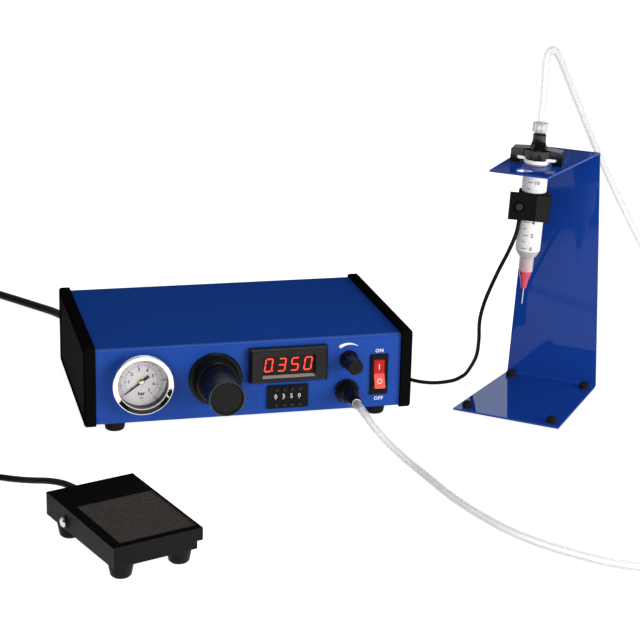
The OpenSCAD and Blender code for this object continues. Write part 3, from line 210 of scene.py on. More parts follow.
def maths(tree, operation, a, b=0.0):
    """The outcome of one sum on two values or sockets."""
    return add(tree, "ShaderNodeMath", {0: a, 1: b}, operation=operation).outputs[0]


def mixed(tree, factor, a, b):
    """Colour between two, by a factor."""
    return add(tree, "ShaderNodeMix", {"Factor": factor, "A": a, "B": b}, data_type="RGBA").outputs["Result"]


# Finishes ------------------------------------------------------------------------------------------------------

def finish(name, colour, rough, metal=0.0, level=0.5, coat=0.0, coat_rough=0.05, mottle=0.10, mottle_size=9,
           swing=0.06, grain=0.0, grain_size=0.5, pebbled=False, alpha=1.0, rim_alpha=None, glow=None,
           glow_power=0.0, flecks_and_glints=0.0, stretch=(1, 1, 1), sheen=0.0):
    """A procedural finish on object coordinates: mottled colour, uneven roughness and a bump for its grain."""
    name += "_finish"
    made = bpy.data.materials.get(name)
    if made:
        return made
    made = bpy.data.materials.new(name)
    made.use_nodes = True
    tree = made.node_tree
    shader = tree.nodes["Principled BSDF"]
    place = add(tree, "ShaderNodeMapping", {
        "Vector": add(tree, "ShaderNodeTexCoord").outputs["Object"], "Scale": stretch}).outputs["Vector"]
    cloud = add(tree, "ShaderNodeTexNoise", {
        "Vector": place, "Scale": 1 / (mottle_size * MM), "Detail": 4}).outputs["Fac"]
    fine = {"Vector": place, "Scale": 1 / (grain_size * MM)}
    tinted = mixed(tree, cloud, (*[c * (1 - mottle) for c in colour], 1),
                   (*[min(1, c * (1 + mottle)) for c in colour], 1))
    # Light flecks on a cell pattern: real flecks in the paste, painted glints on the cheeks' pebbled field.
    if flecks_and_glints:
        dots = add(tree, "ShaderNodeTexVoronoi", fine).outputs["Distance"]
        lit = add(tree, "ShaderNodeMapRange", {"Value": dots, "From Min": 0.55, "From Max": 0.1, "To Max": flecks_and_glints})
        tinted = mixed(tree, lit.outputs["Result"], tinted, (*[min(1, c * 4 + 0.02) for c in colour], 1))
    uneven = add(tree, "ShaderNodeMapRange", {
        "Value": cloud, "To Min": max(0.0, rough - swing), "To Max": min(1.0, rough + swing)})
    fill(shader, {
        "Base Color": tinted, "Roughness": uneven.outputs["Result"], "Metallic": metal, "Specular IOR Level": level,
        "Coat Weight": coat, "Coat Roughness": coat_rough, "Sheen Weight": sheen, "Alpha": alpha})
    if grain:
        pattern = add(tree, "ShaderNodeTexVoronoi" if pebbled else "ShaderNodeTexNoise", fine)
        bump = add(tree, "ShaderNodeBump", {
            "Height": pattern.outputs["Distance" if pebbled else "Fac"], "Strength": 1, "Distance": grain * MM})
        fill(shader, {"Normal": bump.outputs["Normal"]})
        if coat and not pebbled:
            fill(shader, {"Coat Normal": bump.outputs["Normal"]})
    if rim_alpha is not None:
        edge = add(tree, "ShaderNodeLayerWeight", {"Blend": 0.5}).outputs["Facing"]
        seen = add(tree, "ShaderNodeMapRange", {"Value": edge, "To Min": alpha, "To Max": rim_alpha})
        fill(shader, {"Alpha": seen.outputs["Result"]})
    if glow:
        fill(shader, {"Emission Color": (*glow, 1), "Emission Strength": glow_power})
    made.diffuse_color = (*colour, 1)
    return made


def finishes():
    """Every finish of the set by name, with its colour from the panel's settings."""
    colours = bpy.context.scene.dispenser_colours
    paint, stand, plastic = tuple(colours.paint), tuple(colours.stand), tuple(colours.plastic)
    return {
        "blue_sheet": finish("case_paint", paint, 0.46, level=0.0, mottle=0.04, swing=0.05, mottle_size=30,
            grain=0.02),
        "panel_sheet": finish("panel_paint", paint, 0.42, level=0.2, mottle=0.04, swing=0.05, mottle_size=30,
            grain=0.01),
        "fold_sheet": finish("fold_paint", paint, 0.40, level=0.25, coat=0.12, coat_rough=0.22, mottle=0.04,
            mottle_size=30),
        "stand_sheet": finish("stand_paint", stand, 0.35, level=0.0, coat=0.36, coat_rough=0.03, mottle=0.04,
            mottle_size=40, grain=0.004, grain_size=2.2),
        "stand_plate": finish("stand_plate_paint", stand, 0.35, level=0.0, coat=0.9, coat_rough=0.03, mottle=0.04,
            mottle_size=40, grain=0.002, grain_size=3),
        "cheek_plastic": finish("cheek_plastic", plastic, 0.5, level=0.0, mottle=0.15, grain=0.02, grain_size=0.25),
        # The pebbled field: real grain, lighter than the rim, with light flecks that are painted glints.
        "cheek_grain_and_glints": finish("cheek_grain_and_glints", tuple(1.6 * c for c in plastic), 0.45, level=0.0002, mottle=0.4,
            grain=0.14, grain_size=1.1, pebbled=True, flecks_and_glints=1.0),
        "foot_rubber": finish("foot_rubber", (0.013, 0.0125, 0.012), 0.62, level=0.03, mottle=0.2, grain=0.02,
            grain_size=0.3),
        "bezel_chrome": finish("bezel_chrome", (0.86, 0.85, 0.82), 0.06, metal=1.0, mottle=0.03, swing=0.03,
            grain=0.002, grain_size=1.4),
        "dial_white": finish("dial_card", (0.80, 0.765, 0.775), 0.55, level=0.2, mottle=0.03, grain=0.01,
            grain_size=0.2),
        "dial_ink": finish("dial_ink", (0.018, 0.017, 0.020), 0.5, level=0.1),
        "dial_red": finish("dial_red", (0.22, 0.045, 0.055), 0.5, level=0.1),
        "pointer_black": finish("pointer_enamel", (0.008, 0.0075, 0.0075), 0.32, level=0.15, mottle_size=2),
        "brass": finish("turned_brass", (0.86, 0.76, 0.46), 0.24, metal=1.0, mottle=0.06, mottle_size=1, grain=0.004,
            grain_size=0.2),
        "lens_clear": finish("gauge_glass", (0.25, 0.26, 0.27), 0.03, mottle=0.01, swing=0.01, alpha=0.02,
            rim_alpha=0.22),
        "gloss_black": finish("gloss_moulding", (0.0050, 0.0047, 0.0045), 0.27, level=0.15, mottle=0.15,
            mottle_size=6, swing=0.07, grain=0.006, grain_size=0.35),
        "rim_gloss": finish("rim_gloss", (0.0055, 0.0052, 0.005), 0.2, coat=0.5, coat_rough=0.12),
        "adapter_gloss": finish("adapter_moulding", (0.0045, 0.0042, 0.004), 0.16, level=0.45, mottle=0.15,
            mottle_size=4, grain=0.004, grain_size=0.6),
        "bezel_black": finish("bezel_moulding", (0.0085, 0.0062, 0.0062), 0.32, level=0.22, mottle=0.12,
            mottle_size=6, grain=0.006, grain_size=0.35),
        "satin_black": finish("satin_moulding", (0.0075, 0.007, 0.0068), 0.42, level=0.08, mottle=0.18, mottle_size=5,
            grain=0.02, grain_size=0.3),
        "pedal_skin": finish("pedal_casting", (0.0068, 0.0064, 0.0062), 0.5, level=0.08, mottle=0.2, swing=0.08,
            grain=0.05, grain_size=0.45, flecks_and_glints=0.10),
        # A darker, matt copy of the pedal's skin for its top faces: painted shade.
        "pedal_top_painted_shade": finish("pedal_top_painted_shade", (0.0048, 0.0045, 0.0043), 0.55, level=0.0, mottle=0.15, grain=0.03,
            grain_size=0.45, flecks_and_glints=0.08),
        # A light grey on the treadle's rounded edges: painted highlight.
        "pedal_edge_highlight": finish("pedal_edge_highlight", (0.15, 0.145, 0.14), 0.34, level=0.4, mottle=0.15),
        "pedal_tread": finish("pedal_rubber", (0.037, 0.0295, 0.0275), 0.62, level=0.03, mottle=0.18, grain=0.03,
            grain_size=0.3, flecks_and_glints=0.1),
        "steel": finish("bright_steel", (0.62, 0.61, 0.59), 0.26, metal=1.0, mottle=0.08, mottle_size=2, grain=0.004,
            grain_size=0.25),
        "display_red": finish("display_filter", (0.012, 0.0075, 0.0065), 0.16, level=0.12, grain=0.001),
        "digit_glow": finish("digit_glow", (0.5, 0.02, 0.012), 0.4, glow=tuple(colours.glow), glow_power=1.7,
            mottle=0.04, mottle_size=2),
        "wheel_white": finish("wheel_white", (0.66, 0.66, 0.64), 0.5, mottle=0.04),
        "rocker_red": finish("rocker_lens", tuple(0.72 * c for c in colours.lamp), 0.22, level=0.2, mottle=0.12,
            mottle_size=4, glow=(0.9, 0.012, 0.008), glow_power=0.05),
        # The rocker's lower half: a lighter red with more glow, a painted highlight where that face catches the
        # light.
        "rocker_painted_highlight": finish("rocker_painted_highlight", (0.62, 0.09, 0.075), 0.24, mottle=0.35, mottle_size=3, coat=0.3,
            glow=(1.0, 0.18, 0.14), glow_power=0.16),
        "rocker_mark": finish("rocker_mark", (0.80, 0.50, 0.46), 0.4, glow=(1.0, 0.62, 0.55), glow_power=0.14,
            mottle=0.05),
        "button_grey": finish("button_plastic", (0.024, 0.023, 0.023), 0.42, level=0.12, mottle=0.15, grain=0.01),
        "board_green": finish("board_lacquer", (0.012, 0.075, 0.028), 0.32, mottle=0.22, mottle_size=5, grain=0.02,
            grain_size=1.2),
        "valve_aluminium": finish("brushed_aluminium", (0.56, 0.56, 0.57), 0.36, metal=1.0, mottle=0.08, grain=0.01,
            stretch=(0.08, 1, 1)),
        "sintered_brass": finish("sintered_brass", (0.50, 0.33, 0.13), 0.55, metal=1.0, mottle=0.2, mottle_size=0.8,
            grain=0.12, grain_size=0.6),
        "barrel_clear": finish("barrel_plastic", (0.60, 0.59, 0.55), 0.22, mottle=0.05, alpha=0.52, rim_alpha=0.92,
            grain=0.004, grain_size=1.5),
        "barrel_paste": finish("solder_paste", (0.30, 0.295, 0.28), 0.5, mottle=0.16, mottle_size=1.5, grain=0.05,
            flecks_and_glints=0.25),
        "label_paper": finish("label_paper", (0.80, 0.795, 0.785), 0.38, level=0.4, mottle=0.02, grain=0.004),
        "label_ink": finish("label_ink", (0.05, 0.05, 0.055), 0.45, level=0.1),
        "piston_white": finish("piston_white", (0.74, 0.74, 0.72), 0.42, mottle=0.04, grain=0.006),
        # White flange plastic with a faint glow: painted light that lifts the ring where the adapter's wings shade
        # it.
        "ring_white_painted_glow": finish("ring_plastic_painted_glow", (0.88, 0.87, 0.86), 0.35, mottle=0.04, glow=(1, 1, 1), glow_power=0.22),
        "nut_clear": finish("nut_plastic", (0.70, 0.70, 0.69), 0.10, coat=0.6, mottle=0.05, alpha=0.50, rim_alpha=1.0,
            swing=0.04, grain=0.006, grain_size=0.8),
        "needle_pink": finish("needle_hub", (0.62, 0.035, 0.10), 0.22, mottle=0.08, alpha=0.86, rim_alpha=1.0,
            coat=0.2, grain=0.004),
        "collar_clear": finish("collar_plastic", (0.78, 0.66, 0.66), 0.12, coat=0.5, mottle=0.08, alpha=0.35,
            rim_alpha=0.85, grain=0.006, grain_size=0.9),
        "strap_webbing": finish("strap_webbing", (0.0085, 0.0080, 0.0080), 0.78, level=0.0, mottle=0.35,
            mottle_size=1, grain=0.10, grain_size=0.55, sheen=0.02),
        "strap_rib": finish("strap_rib", (0.055, 0.050, 0.044), 0.80, level=0.0, mottle=0.35, mottle_size=0.8),
        "strap_loops": finish("strap_loops", (0.015, 0.014, 0.013), 0.80, level=0.0, mottle=0.35, mottle_size=0.6,
            grain=0.05, grain_size=0.2, sheen=0.05),
        "hose_clear": finish("hose_vinyl", (0.70, 0.70, 0.69), 0.14, mottle=0.02, alpha=0.04, rim_alpha=0.66,
            swing=0.02),
        "cord_black": finish("cord_jacket", (0.0065, 0.0065, 0.0065), 0.44, level=0.08, mottle=0.2, mottle_size=4,
            grain=0.02),
        "print_white": finish("panel_print", (0.83, 0.84, 0.85), 0.5, mottle=0.03, grain=0.003),
        # A black ring with no gloss round the finger button: painted shade in the gap.
        "painted_gap_shade": finish("painted_groove_shade", (0.002, 0.002, 0.002), 0.7, level=0.0),
        "tie_wire": finish("tie_wire", (0.02, 0.02, 0.02), 0.5, mottle=0.2),
        # A pale grey on the display window's lower slope: painted highlight.
        "ledge_highlight": finish("ledge_highlight", (0.20, 0.19, 0.17), 0.4, level=0.3, mottle=0.15, mottle_size=3,
            grain=0.004),
        "screw_zinc": finish("screw_zinc", (0.05, 0.05, 0.052), 0.34, metal=1.0, grain=0.01, grain_size=0.3),
    }


# Helpers -------------------------------------------------------------------------------------------------------

def piece_of(data, name):
    """A new object of that mesh, curve, lamp or camera, linked to the scene."""
    made = bpy.data.objects.new(name, data)
    bpy.context.scene.collection.objects.link(made)
    return made


def plain_mesh(piece, name):
    """The mesh that a piece shows, as plain data."""
    bpy.context.view_layer.update()
    mesh = bpy.data.meshes.new_from_object(piece.evaluated_get(bpy.context.evaluated_depsgraph_get()))
    mesh.name = name
    return mesh


def baked(piece):
    """Turns a piece's modifiers into plain mesh."""
    mesh = plain_mesh(piece, piece.name)
    piece.modifiers.clear()
    piece.data = mesh
    return piece


def set_finish(piece, *names):
    """Gives a piece its finishes, in the order of its faces' material numbers."""
    made = finishes()
    numbers = [face.material_index for face in piece.data.polygons] if piece.type == "MESH" else None
    piece.data.materials.clear()
    for name in names:
        piece.data.materials.append(made[name])
    if numbers:
        piece.data.polygons.foreach_set("material_index", numbers)
    return piece


def settle(piece, body, slot=None, *nodes):
    """Lets a finished piece ride on its body and stand for its solids."""
    if nodes:
        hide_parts(*nodes)
    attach(piece, body)
    return piece


def crease_at(shape, degrees):
    """Keeps the edges sharp that turn more than that."""
    for line in shape.edges:
        line.smooth = len(line.link_faces) == 2 and line.calc_face_angle(0) < math.radians(degrees)


def dressed(node, names, edge=None, segments=2, crease=35, pick=None, trim=None, rim=None, merge=True):
    """Rounds a solid's edges on a clean copy of its mesh, which then stands for it.

    edge is the rounding in millimetres, pick numbers a face's finish, trim is a plane to cut at, rim the number of
    the rounded edges' finish, and merge joins flat triangles first."""
    source = NODES[node]
    slot = source.material_slots[0].material.name.split(".")[0]
    if isinstance(names, str):
        names = (names,)
    mesh = source.data.copy()
    mesh.name = node + "_skin"
    shape = bmesh.new()
    shape.from_mesh(mesh)
    bmesh.ops.remove_doubles(shape, verts=shape.verts, dist=1e-6)
    width = bpy.context.scene.dispenser_sizes.edge if edge is None else edge * MM
    if width and merge:
        bmesh.ops.dissolve_limit(shape, angle_limit=math.radians(0.5), verts=shape.verts, edges=shape.edges)
    if trim:
        cut = bmesh.ops.bisect_plane(shape, geom=[*shape.verts, *shape.edges, *shape.faces], plane_co=trim[0],
                                     plane_no=trim[1], clear_outer=True)
        bmesh.ops.edgeloop_fill(shape, edges=[e for e in cut["geom_cut"] if isinstance(e, bmesh.types.BMEdge)])
    shape.normal_update()
    for face in shape.faces:
        face.smooth = True
        face.material_index = pick(face) if pick else 0
    crease_at(shape, crease)
    shape.to_mesh(mesh)
    shape.free()
    skin = piece_of(mesh, node + "_skin")
    if width:
        bevel = skin.modifiers.new("rounded", "BEVEL")
        bevel.width = width
        bevel.segments = segments
        bevel.limit_method = "ANGLE"
        bevel.angle_limit = math.radians(crease)
        bevel.harden_normals = True
        bevel.miter_outer = "MITER_ARC"
        if rim is not None:
            bevel.material = rim
            for made in names:
                mesh.materials.append(finishes()[made])
        baked(skin)
    set_finish(skin, *names)
    return settle(skin, BODY_OF[node], slot, node)


def repaint(node, name):
    """Gives a solid that stays as it is a better finish."""
    for place in NODES[node].material_slots:
        place.material = finishes()[name]


def middle_of(node):
    """Middle of the box round a solid."""
    return [(a + b) / 2 for a, b in zip(*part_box(node))]


def panel(node):
    """Frame on the front panel behind a control: x to the right, y up, z out of the panel."""
    x, _, z = middle_of(node)
    return Matrix.Translation((x, PANEL_Y, z)) @ turned(90, "X")


def mesh_of(name, verts, faces, place=None, smooth=True):
    """A piece from vertices and faces, with its normals made to point outwards."""
    mesh = bpy.data.meshes.new(name)
    mesh.from_pydata([tuple(v) for v in verts], [], faces)
    shape = bmesh.new()
    shape.from_mesh(mesh)
    bmesh.ops.remove_doubles(shape, verts=shape.verts, dist=1e-7)
    bmesh.ops.recalc_face_normals(shape, faces=shape.faces)
    for face in shape.faces:
        face.smooth = smooth
    crease_at(shape, 40)
    shape.to_mesh(mesh)
    shape.free()
    if place is not None:
        mesh.transform(place)
    return piece_of(mesh, name)


def ring_faces(first, second, sides):
    """Faces between two rings of vertices, each given by the number of its first."""
    return [(first + k, first + (k + 1) % sides, second + (k + 1) % sides, second + k) for k in range(sides)]


def lathe(name, profile, place, sides=48):
    """A turned piece: (radius, height) points spun round the local z axis."""
    verts, faces = [], []
    for r, z in profile:
        verts += [(r * MM * math.cos(math.tau * i / sides), r * MM * math.sin(math.tau * i / sides), z * MM)
                  for i in range(sides)]
    for row in range(len(profile) - 1):
        faces += ring_faces(row * sides, (row + 1) * sides, sides)
    return mesh_of(name, verts, faces, place)


def sampled(points, steps=6):
    """Points along the smooth curve through a route, with that many to each span."""
    ends = [points[0], *points, points[-1]]
    out = []
    for i in range(1, len(ends) - 2):
        a, b, c, d = ends[i - 1:i + 3]
        for k in range(steps):
            t = k / steps
            out.append(0.5 * (2 * b + (c - a) * t + (2 * a - 5 * b + 4 * c - d) * t * t
                              + (3 * b - a - 3 * c + d) * t ** 3))
    return [*out, points[-1]]


def rings(path, radius, sides):
    """Rings of vertices round a path, turned as little as possible from one to the next."""
    side = None
    made = []
    for i, here in enumerate(path):
        ahead = (path[min(i + 1, len(path) - 1)] - path[max(i - 1, 0)]).normalized()
        if side is None:
            side = ahead.cross(Vector((0.3, 0.2, 1))).normalized()
        side = (side - ahead * side.dot(ahead)).normalized()
        up = ahead.cross(side)
        made += [here + (side * math.cos(math.tau * k / sides) + up * math.sin(math.tau * k / sides)) * radius
                 for k in range(sides)]
    return made


def tube(name, path, radius, bore, sides=20):
    """A tube with a bore along a path."""
    verts = rings(path, radius, sides) + rings(path, bore, sides)
    inner, far = len(path) * sides, (len(path) - 1) * sides
    faces = []
    for wall in (0, inner):
        for row in range(len(path) - 1):
            faces += ring_faces(wall + row * sides, wall + (row + 1) * sides, sides)
    for end in (0, far):
        faces += ring_faces(end, inner + end, sides)
    return mesh_of(name, verts, faces)


def cord_curve(name, points, diameter):
    """A round cord as one open curve through its points."""
    curve = bpy.data.curves.new(name, "CURVE")
    curve.dimensions = "3D"
    curve.resolution_u = 5
    curve.bevel_depth = diameter / 2
    curve.bevel_resolution = 4
    curve.use_fill_caps = True
    line = curve.splines.new("BEZIER")
    line.bezier_points.add(len(points) - 1)
    for i, knot in enumerate(line.bezier_points):
        reach = (points[min(i + 1, len(points) - 1)] - points[max(i - 1, 0)]) / 6
        knot.co = points[i]
        knot.handle_left_type = knot.handle_right_type = "FREE"
        knot.handle_left = points[i] - reach
        knot.handle_right = points[i] + reach
    return piece_of(curve, name)


def metres(route):
    """A route's points in metres."""
    return [Vector(p) * MM for p in route]


def blended(keys, place):
    """Value between (place, value) keys, eased from each to the next."""
    for (a, low), (b, high) in zip(keys, keys[1:]):
        if place <= b:
            t = (place - a) / (b - a) if b > a else 1
            return low + (high - low) * t * t * (3 - 2 * t)
    return keys[-1][1]


def coil(centre, start, radius_keys, height_keys, per_turn=18):
    """Points of a wound coil: radius and height change with the angle turned since the start, in degrees."""
    whole = radius_keys[-1][0]
    count = round(whole / 360 * per_turn)
    out = []
    for i in range(count + 1):
        swept = whole * i / count
        angle = math.radians(start + swept)
        r = blended(radius_keys, swept) * MM
        out.append(centre + Vector((r * math.cos(angle), r * math.sin(angle), blended(height_keys, swept) * MM)))
    return out


def lettering(name, text, height, place, spread=0.0, thick=0.03, weight=0.0):
    """Printed letters as a thin raised mesh, centred and upright in the local x-y plane of their place.

    height and thick are in millimetres."""
    curve = bpy.data.curves.new(name, "FONT")
    curve.body = text
    curve.size = 1
    curve.space_character = 1 + spread
    curve.resolution_u = 3
    curve.extrude = 0.01
    curve.offset = weight
    draft = piece_of(curve, name)
    mesh = plain_mesh(draft, name)
    bpy.data.objects.remove(draft)
    low = [min(v.co[k] for v in mesh.vertices) for k in range(3)]
    high = [max(v.co[k] for v in mesh.vertices) for k in range(3)]
    size = height * MM / (high[1] - low[1])
    mesh.transform(Matrix.Diagonal((size, size, thick * MM / (high[2] - low[2]), 1)) @ Matrix.Translation(
        (-(low[0] + high[0]) / 2, -(low[1] + high[1]) / 2, -low[2])))
    mesh.transform(place)
    return piece_of(mesh, name)


def joined(name, parts):
    """One piece from several, in the order of their finishes."""
    shape = bmesh.new()
    names = []
    for part in parts:
        base = len(names)
        start = len(shape.faces)
        shape.from_mesh(part.data)
        shape.faces.ensure_lookup_table()
        for face in shape.faces[start:]:
            face.material_index += base
        names += list(part.data.materials)
        bpy.data.objects.remove(part)
    mesh = bpy.data.meshes.new(name)
    shape.to_mesh(mesh)
    shape.free()
    for made in names:
        mesh.materials.append(made)
    return piece_of(mesh, name)


# Geometry Nodes ------------------------------------------------------------------------------------------------

def new_tree(name, **inputs):
    """An empty node tree with named inputs, and its input sockets and output node."""
    tree = bpy.data.node_groups.new(name, "GeometryNodeTree")
    tree.interface.new_socket("Geometry", in_out="INPUT", socket_type="NodeSocketGeometry")
    kinds = {int: "Int", float: "Float", type(None): "Material"}
    for label, value in inputs.items():
        made = tree.interface.new_socket(label, in_out="INPUT", socket_type="NodeSocket" + kinds[type(value)])
        if value is not None:
            made.default_value = value
    tree.interface.new_socket("Geometry", in_out="OUTPUT", socket_type="NodeSocketGeometry")
    return tree, tree.nodes.new("NodeGroupInput").outputs, tree.nodes.new("NodeGroupOutput")


def scattered(tree, given, out, points, piece, **more):
    """Ends a tree: a copy of the piece at each point, made real and painted."""
    place = add(tree, "GeometryNodeInstanceOnPoints", {"Points": points, "Instance": piece.outputs["Mesh"], **more})
    real = add(tree, "GeometryNodeRealizeInstances", {"Geometry": place.outputs["Instances"]})
    paint = add(tree, "GeometryNodeSetMaterial", {
        "Geometry": real.outputs["Geometry"], "Material": given["Material"]})
    fill(out, {"Geometry": paint.outputs["Geometry"]})
    return tree


def grid_points(tree, given):
    """Points in rows and columns."""
    return add(tree, "GeometryNodeMeshGrid", {
        "Size X": given["Width"], "Size Y": given["Height"], "Vertices X": given["Columns"],
        "Vertices Y": given["Rows"]}).outputs["Mesh"]


def run_tree(maker, name, values, place):
    """Runs a maker's tree on an empty mesh with the given inputs and returns the plain piece."""
    tree = bpy.data.node_groups.get(maker.__name__) or maker()
    piece = piece_of(bpy.data.meshes.new(name), name)
    grow = piece.modifiers.new("grow", "NODES")
    grow.node_group = tree
    for item in tree.interface.items_tree:
        if item.item_type == "SOCKET" and item.in_out == "INPUT" and item.name in values:
            grow[item.identifier] = values[item.name]
    baked(piece)
    piece.data.transform(place)
    return piece


def arc_marks():
    """Bars on an arc, such as a dial's scale: each points outwards from the middle."""
    tree, given, out = new_tree("arc_marks", Count=11, Radius=15 * MM, Start=0.0, Sweep=1.0, Length=MM,
                                Width=0.2 * MM, Thickness=0.05 * MM, Material=None)
    line = add(tree, "GeometryNodeMeshLine", {"Count": given["Count"]})
    last = maths(tree, "MAXIMUM", maths(tree, "SUBTRACT", given["Count"], 1), 1)
    step = maths(tree, "DIVIDE", add(tree, "GeometryNodeInputIndex").outputs[0], last)
    angle = maths(tree, "ADD", given["Start"], maths(tree, "MULTIPLY", given["Sweep"], step))
    spot = add(tree, "ShaderNodeCombineXYZ", {
        axis: maths(tree, "MULTIPLY", given["Radius"], maths(tree, wave, angle))
        for axis, wave in (("X", "COSINE"), ("Y", "SINE"))})
    spread = add(tree, "GeometryNodeSetPosition", {"Geometry": line.outputs["Mesh"], "Position": spot.outputs[0]})
    size = add(tree, "ShaderNodeCombineXYZ", {
        "X": given["Length"], "Y": given["Width"], "Z": given["Thickness"]})
    bar = add(tree, "GeometryNodeMeshCube", {"Size": size.outputs[0]})
    turn = add(tree, "ShaderNodeCombineXYZ", {"Z": angle})
    return scattered(tree, given, out, spread.outputs["Geometry"], bar, Rotation=turn.outputs[0])


def loop_field():
    """A field of small loops with uneven places, as on hook-and-loop tape."""
    tree, given, out = new_tree("loop_field", Width=10 * MM, Height=10 * MM, Columns=20, Rows=20, Size=0.3 * MM,
                                Seed=4, Material=None)
    stray = 0.25 * MM
    jitter = add(tree, "FunctionNodeRandomValue", {
        "Min": (-stray, -stray, 0), "Max": (stray, stray, 0), "Seed": given["Seed"]}, data_type="FLOAT_VECTOR")
    shift = add(tree, "GeometryNodeSetPosition", {"Geometry": grid_points(tree, given), "Offset": jitter.outputs[0]})
    loop = add(tree, "GeometryNodeMeshIcoSphere", {"Radius": given["Size"], "Subdivisions": 1})
    turn = add(tree, "FunctionNodeRandomValue", {"Max": (0.6, 0.6, 6.28), "Seed": given["Seed"]},
               data_type="FLOAT_VECTOR")
    return scattered(tree, given, out, shift.outputs["Geometry"], loop, Rotation=turn.outputs[0])


def screw_rows():
    """Cross-head screws in a grid, with their heads facing the local z axis."""
    tree, given, out = new_tree("screw_rows", Columns=2, Rows=2, Width=0.1, Height=0.1, Head=2.6 * MM,
                                Depth=1.2 * MM, Material=None)
    head = add(tree, "GeometryNodeMeshCone", {
        "Vertices": 24, "Radius Top": maths(tree, "MULTIPLY", given["Head"], 0.72), "Radius Bottom": given["Head"],
        "Depth": given["Depth"]})
    cut = add(tree, "GeometryNodeMeshBoolean", {"Mesh 1": head.outputs["Mesh"]}, operation="DIFFERENCE")
    for wide, high in ((1.3, 0.26), (0.26, 1.3)):
        size = add(tree, "ShaderNodeCombineXYZ", {
            "X": maths(tree, "MULTIPLY", given["Head"], wide * 0.8),
            "Y": maths(tree, "MULTIPLY", given["Head"], high * 0.8), "Z": given["Depth"]})
        slot = add(tree, "GeometryNodeMeshCube", {"Size": size.outputs[0]})
        lift = add(tree, "ShaderNodeCombineXYZ", {"Z": given["Depth"]})
        move = add(tree, "GeometryNodeTransform", {
            "Geometry": slot.outputs["Mesh"], "Translation": lift.outputs[0]})
        fill(cut, {"Mesh 2": move.outputs["Geometry"]})
    return scattered(tree, given, out, grid_points(tree, given), cut)


# Operators -----------------------------------------------------------------------------------------------------

